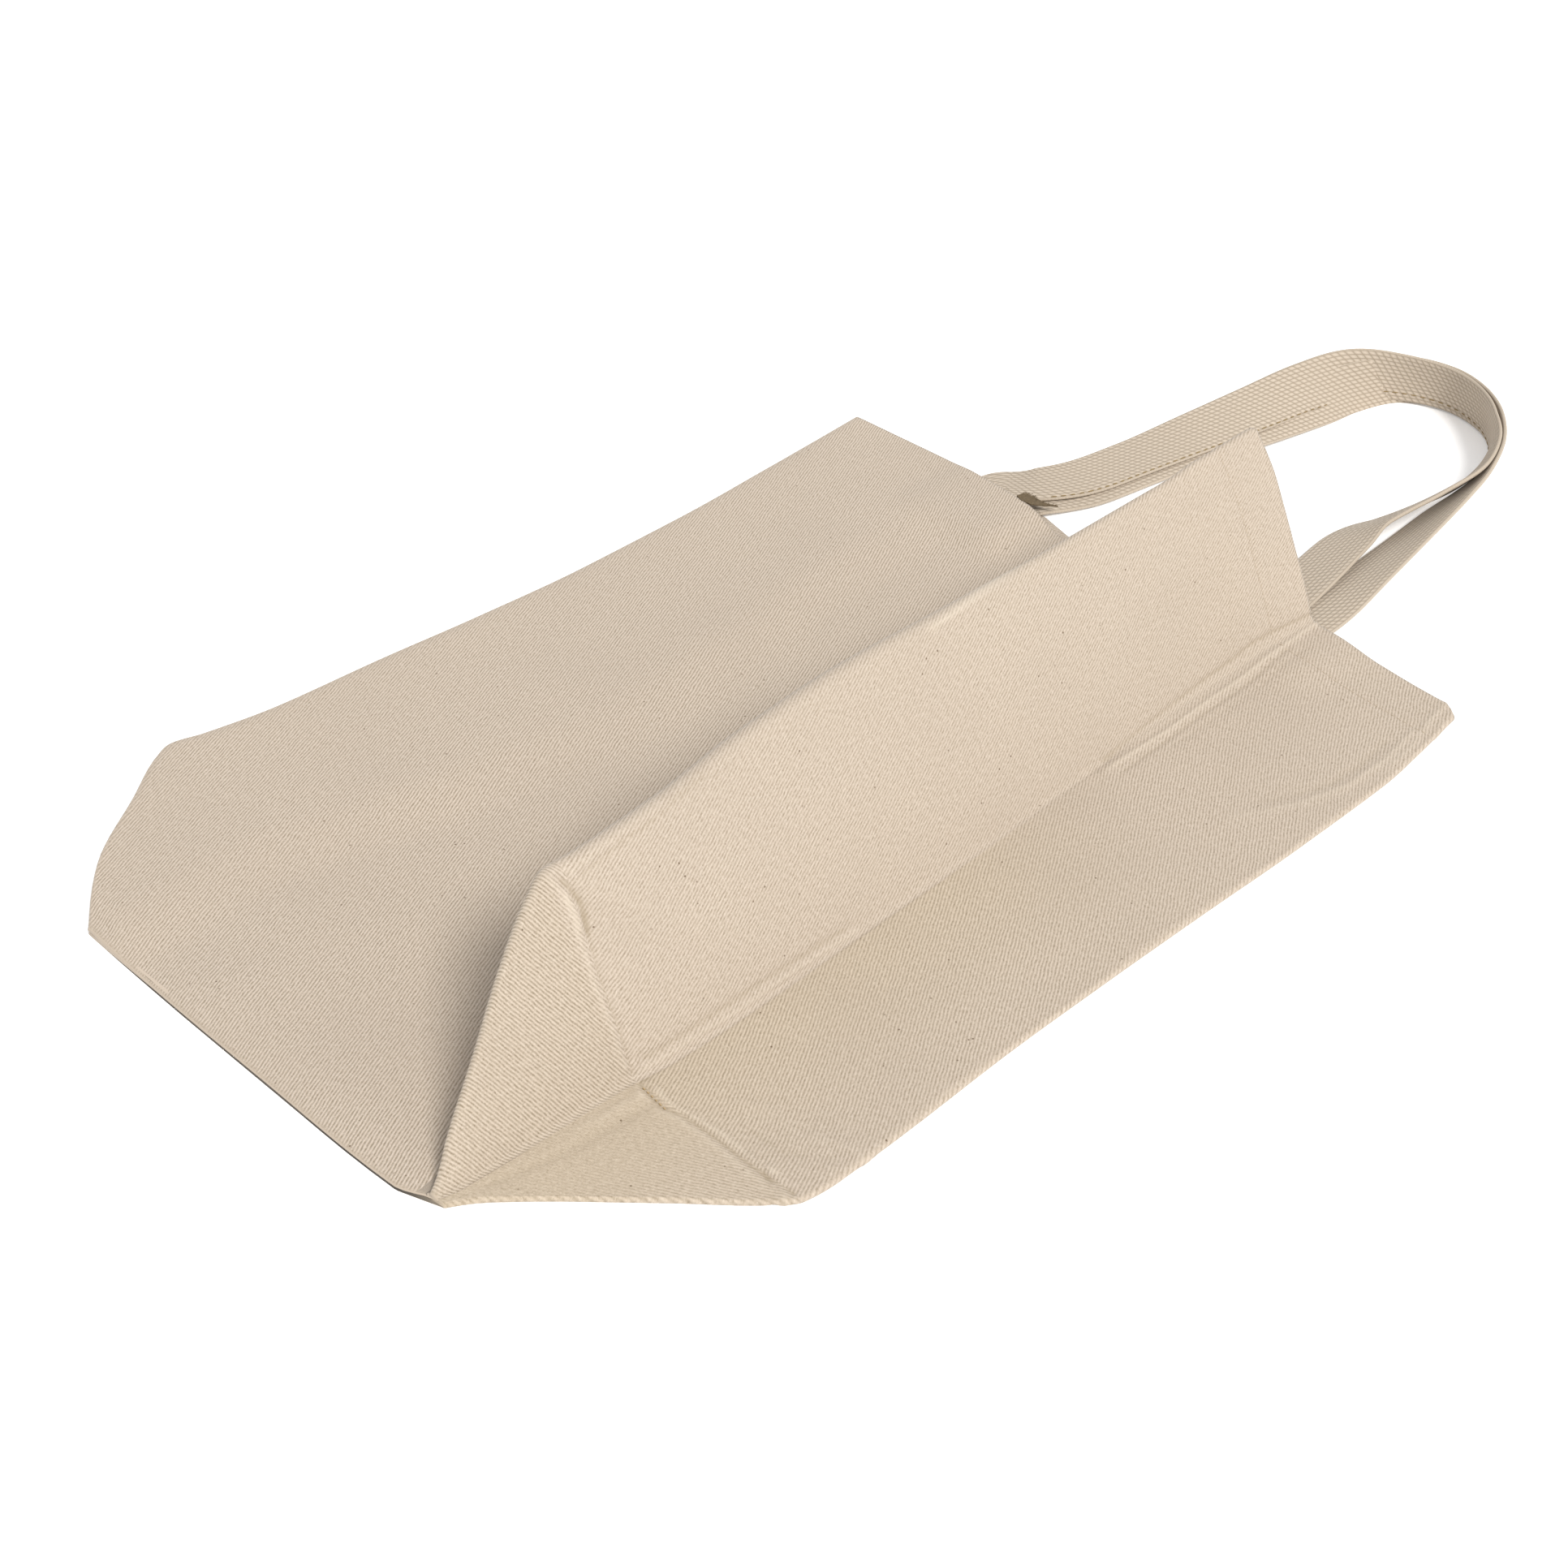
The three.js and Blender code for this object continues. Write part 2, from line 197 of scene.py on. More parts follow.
lowerHandle = table(handleColumns, [
    [128, rootY, lowerHandleLevel, 0],
    [132, 397, lowerHandleLevel, 0],
    [134, 401.3, 2.55, 0],
    [139.1, 412.2, 2.8, 5],
    [145.1, 425.8, 3.5, 9],
    [151.8, 459.1, 3.95, 10],
    [161, 496.3, 6, 17.7],
    [170.8, 532.1, 7.6, 26.4],
    [178, 561.4, 8.8, 38],
    [185, 587, 10.4, 63],
    [199.6, 609.7, 12.2, 86],
    [224, 616.9, 12.9, 97],
    [247.6, 609.4, 13, 99],
    [265, 592.4, 13, 92],
    [274.8, 571, 12.2, 71],
    [279, 547, 10.5, 50],
    [281, 520, 9.2, 37],
    [283.3, 488, 7.6, 28],
    [285.2, 450, 5, 16],
    [286.8, 418, 3.1, 3],
    [286.6, 403, 2.5, 0],
    [287.5, rootY, lowerHandleLevel, 0],
])


def throughPoints(places, values, at):
    # Smooth curve through the points that keeps every rise and fall
    places = np.asarray(places, float)
    values = np.asarray(values, float)
    at = np.clip(np.asarray(at, float), places[0], places[-1])
    steps = np.diff(places)
    slopes = np.diff(values) / steps
    tangents = np.empty(len(places))
    tangents[0], tangents[-1] = slopes[0], slopes[-1]
    before, after = slopes[:-1], slopes[1:]
    product = before * after
    total = np.where(np.abs(before + after) < 1e-12, 1, before + after)
    tangents[1:-1] = np.where(product <= 0, 0, 2 * product / total)
    i = np.clip(np.searchsorted(places, at, side="right") - 1, 0, len(steps) - 1)
    t = (at - places[i]) / steps[i]
    return (
        (1 + 2 * t) * (1 - t) ** 2 * values[i] + t * t * (3 - 2 * t) * values[i + 1]
        + steps[i] * t * (1 - t) * ((1 - t) * tangents[i] - t * tangents[i + 1]))


def curveThrough(points, at):
    return throughPoints(*np.transpose(points), at)


def ease(value, low, high):
    t = np.clip((np.asarray(value, float) - low) / (high - low), 0, 1)
    return t * t * (3 - 2 * t)


# Where the handle ends lift the sheets that lie over them, along y and across
handleLift = {
    "belowMouth": 55,
    "belowRoot": 5,
    "farRise": (84, 100),
    "farFall": (138, 160),
    "nearRise": (236, 254),
    "lowerFall": (303, 328),
}


def handleRise(y):
    return ease(y, mouth - handleLift["belowMouth"], rootY - handleLift["belowRoot"])


def frontLevel(x, y, farTuck):
    overTuck = 1 - ease(x, farTuck + 1, farTuck + bag["tuckSlope"])
    resting = sheetLevel + overTuck * (frontOverTuck - sheetLevel)
    overFarEnds = ease(x, *handleLift["farRise"]) * (1 - ease(x, *handleLift["farFall"]))
    overNearEnds = ease(x, *handleLift["nearRise"])
    overHandles = handleRise(y) * np.maximum(overFarEnds, overNearEnds)
    return resting + overHandles * (overTwoHandles - resting)


def lowerLevel(x, y):
    overEnd = 1 - ease(x, *handleLift["lowerFall"])
    return sheetLevel + handleRise(y) * overEnd * (overOneHandle - sheetLevel)


# Steps round each stretch of the cross-section
stretchSteps = {
    "back": [10, 14, 3], "fold": 4, "tuck": 5, "front": [18, 12, 22, 13], "hinge": 6, "left": 16,
    "ridge": 9, "right": [11, 31, 16], "seam": 8, "lower": [18, 23, 26], "near": 7,
}
# How deep the closer steps run at both ends of a stretch
closeSteps = {"back": (18, 10), "right": (9, 12), "lower": (14, 28)}
# Where the steps across the front change: distances from the tuck, its slope and the hinge
frontMarks = {"beforeTuck": 2, "afterSlope": 3, "beforeHinge": 46}
# Roundings at the fin's foot: largest, smallest, share of the fin's reach
hingeRounding = (4, 1, 0.2)
seamRounding = (3, 0.3)

# Where the cloth's own width has got to before and after the hinge and at the foot of the fin
hingeWeave = (270, 274)
seamWeave = 454
finStretches = ["ridge", "fin", "seam"]
lowerStretches = ["lower", "near"]


def arcPoints(centreX, centreZ, radius, start, end, steps):
    angle = np.radians(np.linspace(start, end, steps + 1))
    return centreX + radius * np.cos(angle), centreZ + radius * np.sin(angle)


def inner(start, end, steps):
    return np.linspace(start, end, steps + 1)[1:-1]


def spaced(start, end, steps, firstDepth, lastDepth):
    # Places between two ends, closer together over a depth at each end
    length = abs(end - start)
    first, last = min(firstDepth, 0.3 * length), min(lastDepth, 0.3 * length)
    places = np.concatenate([
        np.linspace(0, first, steps[0] + 1)[1:], np.linspace(first, length - last, steps[1] + 1)[1:],
        np.linspace(length - last, length, steps[2] + 1)[1:-1]])
    return start + np.sign(end - start) * places


def sectionStretches(y):
    # The cloth's middle line at height y. Each stretch gives x, z, the coordinate a that creases are laid
    # in by and u for the weave.
    heights = [row["y"] for row in sections]
    farEdge, farTuck, hinge, nearSeam, nearEdge, reach, roll, belly = (
        float(throughPoints(heights, [row[key] for row in sections], y)) for key in sectionColumns[1:])
    lean = bag["finLean"]
    steps = stretchSteps
    out = []

    def level(n):
        return backLevel + n * foldRadius

    def add(name, x, z, a, u):
        x = np.atleast_1d(np.asarray(x, float))
        out.append((name, x, *(np.broadcast_to(value, x.shape).astype(float) for value in (z, a, u))))

    left = farEdge + foldRadius
    x = spaced(nearEdge - foldRadius, left, steps["back"], *closeSteps["back"])
    add("back", x, level(0), x, -x)
    pieces = [
        arcPoints(left, level(1), foldRadius, 270, 90, steps["fold"]),
        (inner(left, farTuck - foldRadius, steps["tuck"]), level(2)),
        arcPoints(farTuck - foldRadius, level(3), foldRadius, -90, 90, steps["fold"]),
        (inner(farTuck - foldRadius, left, steps["tuck"]), level(4)),
        arcPoints(left, level(5), foldRadius, 270, 90, steps["fold"]),
    ]
    for k, (px, pz) in enumerate(pieces):
        add("fold" if k in (0, 4) else "tuck", px, pz, px, px)

    largest, smallest, share = hingeRounding
    hingeRadius = min(largest, max(smallest, share * reach))
    beforeHinge = hinge - hingeRadius
    stepStart = farTuck - frontMarks["beforeTuck"]
    stepEnd = farTuck + bag["tuckSlope"] + frontMarks["afterSlope"]
    nearStart = hinge - frontMarks["beforeHinge"]
    n = steps["front"]
    x = np.concatenate([
        inner(left, stepStart, n[0]), [stepStart], inner(stepStart, stepEnd, n[1]), [stepEnd],
        inner(stepEnd, nearStart, n[2]), [nearStart], inner(nearStart, beforeHinge, n[3])])
    add("front", x, frontLevel(x, y, farTuck), x, x)

    alongX, alongZ = -math.cos(math.radians(lean)), math.sin(math.radians(lean))
    sideX, sideZ = alongZ, -alongX
    seamX, seamZ = nearSeam, float(lowerLevel(nearSeam, y))

    def onFin(up, sideways):
        return seamX + up * alongX + sideways * sideX, seamZ + up * alongZ + sideways * sideZ

    ridgeX, ridgeZ = onFin(reach - roll, -roll)
    ridgeLeftX, ridgeLeftZ = onFin(reach - roll, -2 * roll)
    bowAngle = math.degrees(math.atan2(math.pi * belly, reach))
    hingeZ = float(frontLevel(beforeHinge, y, farTuck)) + hingeRadius
    hx, hz = arcPoints(beforeHinge, hingeZ, hingeRadius, -90, 90 - lean + bowAngle, steps["hinge"])
    weaveStart, weaveEnd = hingeWeave
    add("left", hx, hz, 0, weaveStart + np.linspace(0, weaveEnd - weaveStart, len(hx)))
    arcLength = math.radians(180 + bowAngle) * roll
    ridgeStart = seamWeave - reach + roll - arcLength
    share = inner(0, 1, steps["left"])
    bow = belly * np.sin(np.pi * share)
    add("left", hx[-1] + (ridgeLeftX - hx[-1]) * share - bow * sideX,
        hz[-1] + (ridgeLeftZ - hz[-1]) * share - bow * sideZ,
        share * reach, weaveEnd + share * (ridgeStart - weaveEnd))
    rx, rz = arcPoints(ridgeX, ridgeZ, roll, 270 - lean - bowAngle, 90 - lean, steps["ridge"])
    turn = np.linspace(0, 1, len(rx))
    add("ridge", rx, rz, reach - roll + roll * np.sin(np.pi * turn), ridgeStart + arcLength * turn)

    largest, share = seamRounding
    seamRadius = min(largest, share * reach)
    tangent = seamRadius * math.tan(math.radians(lean / 2))
    up = spaced(reach - roll, tangent, steps["right"], *closeSteps["right"])
    fx, fz = onFin(up, 0)
    add("fin", fx, fz, up, seamWeave - up)
    sx, sz = onFin(tangent, 0)
    centreX, centreZ = sx + seamRadius * sideX, sz + seamRadius * sideZ
    ax, az = arcPoints(centreX, centreZ, seamRadius, 270 - lean, 270, steps["seam"])
    add("seam", ax, az, tangent * (1 - np.linspace(0, 1, len(ax))),
        seamWeave + np.linspace(-tangent, tangent, len(ax)))
    x = spaced(centreX, nearEdge - foldRadius, steps["lower"], *closeSteps["lower"])
    add("lower", x, lowerLevel(x, y), x, seamWeave + x - nearSeam)
    nx, nz = arcPoints(nearEdge - foldRadius, level(1), foldRadius, 90, -90, steps["near"])
    turn = np.linspace(0, math.pi * foldRadius, len(nx))
    add("near", nx, nz, nx, seamWeave + nearEdge - foldRadius - nearSeam + turn)
    return out


# Creases laid in: the sheet, how much paler or darker they make it (rubbed wear, with a painted highlight
# on the ridges and painted shade in the grooves), their height over the sheet (below it when negative),
# their width, and points (a, y) along each, in mm. a is x on the flat sheets and the distance up the fin
# on the fin.
creases = table(["on", "tone", "height", "width", "line"], [
    # Band along the fin's ridge and the pinched corner below it
    ["fin", -0.4, -0.4, 1.4, [(74.5, 8), (77, 21), (78.8, 33), (80, 48), (82, 62), (84, 76)]],
    ["fin", 0.25, 0.3, 1.9, [(76.5, 9), (79.6, 20), (81.4, 34), (83.4, 52)]],
    ["fin", -0.6, -0.42, 1.4, [(75.6, 4.2), (72, 6.2), (67, 7.8), (61, 7.2), (56, 6)]],
    ["fin", 0.4, 0.4, 1.4, [(77, 0.5), (72.5, 2.8), (66, 4.6), (57, 4.2)]],
    ["fin", -0.4, -0.3, 1.1, [(61, 7), (48, 5), (36.5, 3.6), (17.5, 2.6), (3, 1.2)]],
    ["fin", 0.35, 0.22, 1.3, [(70, 3.2), (54.6, 2.2), (36.5, 0.8), (17.5, 0.2), (6, -0.4)]],
    ["fin", 0.15, 0.55, 3.2, [(73, 9), (62, 21), (46, 37), (36, 52)]],
    ["fin", -0.15, -0.45, 3.4, [(69, 6.5), (56, 13.5), (42, 25)]],
    # Strip along the foot of the fin, up from the boxed corner
    ["fin", 0.38, 0.4, 1.1, [(2.4, 5), (3.2, 30), (2.6, 48), (3, 72), (2, 112)]],
    ["fin", -0.4, -0.35, 1.5, [(6, 8), (6.8, 40), (6.2, 82), (5, 108)]],
    ["lower", -0.9, -0.4, 0.8, [(289.6, 2), (289.9, 50), (289.5, 92), (288.8, 140)]],
    # Lines by the mouth
    ["fin", -0.55, -0.5, 1.0, [(1.2, 262), (2.2, 284), (3.6, 328), (5.4, 360), (5.2, 378), (3.6, 404)]],
    ["fin", 0.2, 0.4, 2.2, [(0, 270), (0.4, 330), (0.6, 404)]],
    ["fin", 0.1, 0.35, 8, [(66, 405), (58, 340), (44, 290)]],
    ["fin", -0.1, -0.3, 9, [(30, 402), (34, 350), (44, 310)]],
    ["lower", 0.5, 0.75, 1.5, [(291.6, 258), (292.4, 296), (291.6, 328), (291.8, 365), (291.4, 404)]],
    ["lower", -0.4, -0.35, 1.1, [(297, 262), (295.6, 312), (296, 336), (295.6, 357), (294, 378)]],
    ["lower", 0.2, 0.4, 2.4, [(287.5, 270), (287.5, 330), (288, 404)]],
    ["lower", -0.15, -0.25, 1.8, [(300, 290), (301, 345), (299, 384)]],
    # Ridge near the mouth: rubbed pale, with a painted highlight along it
    ["fin", 0.55, 0.1, 1.6, [(86.5, 196), (88, 226), (89, 250), (90, 284)]],
    # Seam across the boxed corner, and the wrinkles at its end
    ["lower", -0.7, -0.5, 1.0,
     [(290.5, 0.6), (304, -1.8), (311, 0.4), (326, 0.9), (347, 0), (364, 0.6)]],
    ["lower", 0.45, 0.35, 1.4, [(296, 2.6), (306, 1), (326, 3.4), (344, 3), (352, 2.4)]],
    ["lower", 0.35, 0.25, 1.3,
     [(293, -2.4), (303, -4.2), (312, -2.2), (326, -1.8), (344, -3), (358, -3.6)]],
    ["lower", -0.45, -0.35, 1.0, [(338, 4.6), (347, 3), (354, -1), (361, -6)]],
    ["lower", 0.35, 0.35, 1.5, [(351, 4.4), (359, 0.4), (367, -7)]],
    ["lower", 0.2, 0.4, 2.2, [(322, 19), (334, 24), (346, 19), (366, 17)]],
    ["lower", 0.25, 0.4, 2.2, [(350, 24), (364, 29), (371, 29)]],
    ["lower", -0.3, -0.3, 2.2, [(334, 12), (348, 12), (362, 20)]],
    # Smooth folds in the corner's own triangle
    ["lower", -0.25, -0.3, 2.4, [(289, -68), (296, -40), (299, -16), (300, -4)]],
    ["lower", 0.3, 0.3, 2.2, [(291, -30), (293, -14), (294.5, -4)]],
    # Near corner of the mouth
    ["lower", 0.35, 0.5, 1.7,
     [(365, 366), (368, 342), (367, 315), (360, 292), (353.5, 279), (346, 267)]],
    ["lower", -0.3, -0.3, 1.9, [(361, 352), (362.5, 330), (361.5, 312), (355, 296), (348, 284)]],
    ["lower", 0.35, 0.4, 1.5, [(363.5, 396), (366, 376), (370.5, 356), (372, 339)]],
    # Broad swells
    ["lower", 0, 0.35, 14, [(330, 60), (338, 140), (334, 220)]],
    ["front", 0, 0.5, 12, [(196, 388), (192, 340), (196, 280)]],
    ["front", 0, 0.5, 30, [(150, -60), (170, 60), (165, 200)]],
    ["front", 0, 0.6, 20, [(228, -70), (236, 60), (232, 210), (238, 330)]],
])


def distanceTo(line, a, y):
    line = np.asarray(line, float)
    best = np.full(a.shape, 1e9)
    for (a0, y0), (a1, y1) in zip(line[:-1], line[1:]):
        da, dy = a1 - a0, y1 - y0
        t = np.clip(((a - a0) * da + (y - y0) * dy) / (da * da + dy * dy), 0, 1)
        best = np.minimum(best, np.hypot(a - a0 - t * da, y - y0 - t * dy))
    return best


def softUnevenness(a, y, phase):
    # The cloth never lies quite flat: two low swells, heights and lengths in mm
    return (
        0.22 * np.sin(a / 17 + y / 41 + phase) * np.sin(y / 33 - a / 60 + 2 * phase)
        + 0.12 * np.sin(a / 9 - y / 23 + 3 * phase) * np.sin(y / 13 + phase))


def creased(name, a, y):
    # How much paler or darker, as rubbed wear with painted highlight and shade, and how much higher the
    # creases make one stretch
    sheet = {"ridge": "fin", "seam": "fin", "near": "lower"}.get(name, name)
    tone, height = np.zeros(a.shape), np.zeros(a.shape)
    for crease in creases:
        if crease["on"] == sheet:
            near = np.exp(-(distanceTo(crease["line"], a, y) / crease["width"]) ** 2)
            tone += crease["tone"] * near
            height += crease["height"] * near
    return tone, height


# Phase and strength of the soft waves on each sheet
softWaves = {"front": (0.4, 1.1), "fin": (1.7, 1.2), "lower": (2.9, 1.5)}
# How much the turned hem shows on each sheet
hemShows = {"ridge": 1, "fin": 1, "seam": 1, "lower": 1, "near": 0.5}
# The turned hem: fuller over its own width, drawn in along its stitching
hemShape = {"fuller": 0.2, "start": 0.5, "end": 3, "drawnIn": 0.14, "drawnWidth": 1.5}
hemY = mouth - bag["hemWidth"]


def hemStep(y):
    fuller = hemShape["fuller"] * ease(y, hemY + hemShape["start"], hemY + hemShape["end"])
    return fuller - hemShape["drawnIn"] * np.exp(-((y - hemY) / hemShape["drawnWidth"]) ** 2)


# Rows of the mesh up the bag: from, to, step
rowBands = [
    (-76, -10, 4.4), (-10, 10, 0.9), (10, 30, 2.0), (30, 320, 5.4), (320, 368, 3.0), (368, 382, 1.4),
    (382, 396, 2.2),
]
rowHeights = np.concatenate([
    [bottomFold, -83, -80], *(np.arange(*band) for band in rowBands), [397, 398.6, mouth]])


def bodyRows():
    rows = []
    for y in rowHeights:
        stretches = sectionStretches(y)
        names = np.concatenate([[s[0]] * len(s[1]) for s in stretches])
        x, z, a, u = (np.concatenate([s[k] for s in stretches]) for k in (1, 2, 3, 4))
        mouthward = float(ease(y, mouth - mouthShiftDepth, mouth))
        ys = np.full(len(x), y)
        lift, press, hem = np.zeros((3, len(x)))
        for key in mouthShift:
            mask = np.isin(names, finStretches) if key == "fin" else names == key
            run = np.concatenate([[0], np.cumsum(np.hypot(np.diff(x[mask]), np.diff(z[mask])))])
            ys[mask] += mouthward * curveThrough(mouthShift[key], run / run[-1])
        inside = np.isin(names, ["back", "tuck"])
        ys[inside] += mouthward * curveThrough(innerMouth, x[inside])
        outward = np.clip((x - mouthCorner["start"]) / mouthCorner["width"], 0, 1)
        drop = mouthCorner["drop"] * float(ease(y, mouth - mouthCorner["depth"], mouth))
        ys -= drop * outward ** mouthCorner["power"]
        ys += curveThrough(bottomBow, x) * (1 - float(ease(y, bottomFold, bottomBowTop)))
        for name in set(names):
            mask = names == name
            press[mask], lift[mask] = creased(name, a[mask], ys[mask])
            if name in softWaves:
                phase, strength = softWaves[name]
                lift[mask] += strength * softUnevenness(a[mask], ys[mask], phase)
            hem[mask] = hemShows.get(name, 0) * hemStep(y)
        z = z * (1 - bottomPress["share"] * (1 - float(ease(y, bottomFold, bottomPress["top"]))))
        before = np.stack([x - np.roll(x, 1), z - np.roll(z, 1)])
        before = before / np.linalg.norm(before, axis=0)
        after = np.roll(before, -1, axis=1)
        heading = before + after
        heading = heading / np.linalg.norm(heading, axis=0)
        # Sharp bends keep their thickness, up to twice
        stretch = 1 / np.maximum(0.5, (heading * before).sum(0))
        rows.append({"names": names, "x": x, "z": z, "ys": ys, "u": u, "lift": lift, "press": press,
                     "hem": hem, "nx": -heading[1] * stretch, "nz": heading[0] * stretch})
    return rows


aboveTable = 0.02


def skinPoints(row, distance, yMove=0.0, outside=False):
    d = distance + row["lift"] + (row["hem"] if outside else 0)
    z = np.maximum(row["z"] + d * row["nz"], aboveTable)
    return np.stack([row["x"] + d * row["nx"], row["ys"] + yMove, z], axis=1)


def gridFaces(rowCount, count, first, flipped):
    r, i = np.meshgrid(np.arange(rowCount - 1), np.arange(count), indexing="ij")
    a = first + r * count + i
    b = first + r * count + (i + 1) % count
    quads = np.stack([a, b, b + count, a + count], axis=-1).reshape(-1, 4)
    return quads[:, ::-1] if flipped else quads


def meshObject(name, points, faces, uvs=None, smooth=True):
    mesh = bpy.data.meshes.new(name)
    mesh.from_pydata(np.asarray(points).tolist(), [], [list(map(int, f)) for f in faces])
    if uvs is not None:
        layer = mesh.uv_layers.new(name="weave")
        layer.data.foreach_set("uv", np.asarray(uvs, np.float32).ravel())
    mesh.polygons.foreach_set("use_smooth", [smooth] * len(mesh.polygons))
    mesh.update()
    return placed(name, mesh)


weaving = {
    # Where the bottom's cloth starts, turned a quarter round below the boxed seam
    "turnedStart": 355,
    # Degrees that the weave leans by on the boxed side and on the panels
    "boxedLean": 3,
    "panelLean": -2.5,
    # The boxed seam rises a little towards the ridge, by the weave along this row of the mesh
    "seamHeight": 1.0,
    "seamRise": 0.07,
    "seamRow": 20,
    "plainPlace": (0.2, 0.2),
}


def allPoints(rows, key):
    # One row of values for each row of the mesh: the tip of the bottom fold, outside, inside
    return np.stack([row[key] for row in [rows[0]] + rows + rows])


def clothWeave(rows, faceList):
    # Weave coordinates: the cloth's own weft and warp, in metres
    names = rows[0]["names"]
    count = len(names)
    u, v = allPoints(rows, "u"), allPoints(rows, "ys")
    height = v.ravel()
    onFin = np.isin(names, finStretches)
    bottomCloth = onFin | np.isin(names, lowerStretches)
    turned = np.stack([weaving["turnedStart"] + v, seamWeave - u - bag["gusset"] / 2], axis=-1)
    turned = turned.reshape(-1, 2)
    boxed = bottomCloth | (names == "left")
    skew = np.radians(np.where(boxed, weaving["boxedLean"], weaving["panelLean"]))
    flat = np.stack([u * np.cos(skew) + v * np.sin(skew), v * np.cos(skew) - u * np.sin(skew)], axis=-1)
    flat = flat.reshape(-1, 2)
    seamU = rows[weaving["seamRow"]]["u"]
    seamRise = np.where(onFin, weaving["seamRise"] * (seamWeave - seamU), 0)
    uvs = []
    for face in faceList:
        columns = [k % count for k in face]
        low = np.mean([height[k] for k in face]) < weaving["seamHeight"] + seamRise[columns[0]]
        if len(face) > 4 or max(face) < 2 * count:
            # The rim of the bottom fold shows no ribs
            uvs.extend(weaving["plainPlace"] for k in face)
        elif low and bottomCloth[columns[0]] and bottomCloth[columns[1]]:
            uvs.extend(turned[k] for k in face)
        else:
            uvs.extend(flat[k] for k in face)
    return np.array(uvs) / 1000


# How the cloth's weave looks, and the painted shade and warm bounce light on it
weaveAndShade = {
    # Height of the boxed seam's soft step, and where the shade by the fin's foot ends
    "seamBand": (-3, 3),
    "shade": (300, 352),
    # How quiet the weave looks, and how that changes below the boxed seam
    "quiet": {"fin": 0.36, "lower": 0.3, "fold": 0.6, "rest": 0.05, "near": 0.5, "rim": 0.75},
    "quietBelow": {"fin": -0.24, "lower": 0.15, "shaded": 0.4},
    # Warm tint below the boxed seam, in the shade by the fin's foot and along the seam: painted warm
    # shade and bounce light
    "warmBelow": {"fin": 0.4, "lower": 0.5, "shaded": 0.5},
    "warmBySeam": {"strength": 0.9, "x": 286, "width": 55, "fade": (150, 260)},
    # Colour dimmed on the fin, which faces the key light, and on the lower sheet: painted shade
    "pale": {"fin": 0.97, "finBelow": 0.035, "lower": 0.985},
    # Darkening of the bottom fold's rim: painted shade
    "rimShade": 0.35,
}


def clothWeaveAndShade(rows):
    # Values of every point that the twill's material reads
    names = rows[0]["names"]
    xs, ys = allPoints(rows, "x"), allPoints(rows, "ys")
    onFin = np.isin(names, finStretches)
    onLower = np.isin(names, lowerStretches)
    below = 1 - ease(ys, *weaveAndShade["seamBand"])
    shaded = 1 - ease(xs, *weaveAndShade["shade"])

    calm, change = weaveAndShade["quiet"], weaveAndShade["quietBelow"]
    quiet = np.full_like(xs, calm["rest"])
    for key, where in (("fold", names == "fold"), ("lower", onLower), ("fin", onFin)):
        quiet[:, where] = calm[key]
    quiet += np.where(onFin, change["fin"], 0.0) * below
    quiet += np.where(onLower, 1, 0) * below * (change["lower"] + change["shaded"] * shaded)
    quiet[:, names == "near"] = calm["near"]
    quiet[:2] = calm["rim"]
    quiet[len(rows) + 1] = calm["rim"]

    # Painted warm shade and bounce light, near the fin's foot and below the boxed seam
    glow, change = weaveAndShade["warmBySeam"], weaveAndShade["warmBelow"]
    bySeam = np.exp(-((xs - glow["x"]) / glow["width"]) ** 2) * (1 - ease(ys, *glow["fade"]))
    warmLower = below * (change["lower"] + change["shaded"] * shaded)
    warm = np.where(onLower, np.maximum(warmLower, glow["strength"] * bySeam), 0.0)
    warm = warm + np.where(onFin, change["fin"] * below, 0.0)

    # Dimming of the fin and the lower sheet: painted shade
    fade = weaveAndShade["pale"]
    pale = np.where(onFin, fade["fin"] - fade["finBelow"] * below, np.where(onLower, fade["lower"], 1.0))
    press = allPoints(rows, "press")
    # The rim of the bottom fold is darkened: painted shade along its edge
    press[:2] -= weaveAndShade["rimShade"]
    return {"quiet": quiet, "warm": warm, "pale": pale, "press": press}


# Share of the cloth's half thickness that is left at the tip of the bottom fold
tipShare = 0.3


def makeBodyCloth():
    rows = bodyRows()
    half = bag["thickness"] / 2
    count = len(rows[0]["x"])
    outer = [skinPoints(row, half, 0, True) for row in rows]
    inner = [skinPoints(row, -half) for row in rows]
    tip = dict(rows[0], lift=np.zeros(count))
    outer.insert(0, skinPoints(tip, tipShare * half, -half))
    inner[0] = skinPoints(rows[0], -half, half)
    innerStart = len(outer) * count
    i = np.arange(count)
    j = (i + 1) % count
    outerLast = innerStart - count
    innerLast = innerStart + (len(inner) - 1) * count
    quads = np.concatenate([
        gridFaces(len(outer), count, 0, False),
        gridFaces(len(inner), count, innerStart, True),
        np.stack([outerLast + i, outerLast + j, innerLast + j, innerLast + i], axis=1),
    ])
    faceList = quads.tolist()
    faceList.append(list(range(count))[::-1])
    faceList.append(list(range(innerStart, innerStart + count)))
    points = toMetres(np.concatenate(outer + inner))
    obj = meshObject("tote_body", points, faceList, clothWeave(rows, faceList))
    for label, values in clothWeaveAndShade(rows).items():
        attribute = obj.data.attributes.new(label, "FLOAT", "POINT")
        attribute.data.foreach_set("value", values.ravel().astype(np.float32))
    return obj, rows


bodyCloth, clothRows = makeBodyCloth()
print("body cloth", len(bodyCloth.data.polygons), "faces")


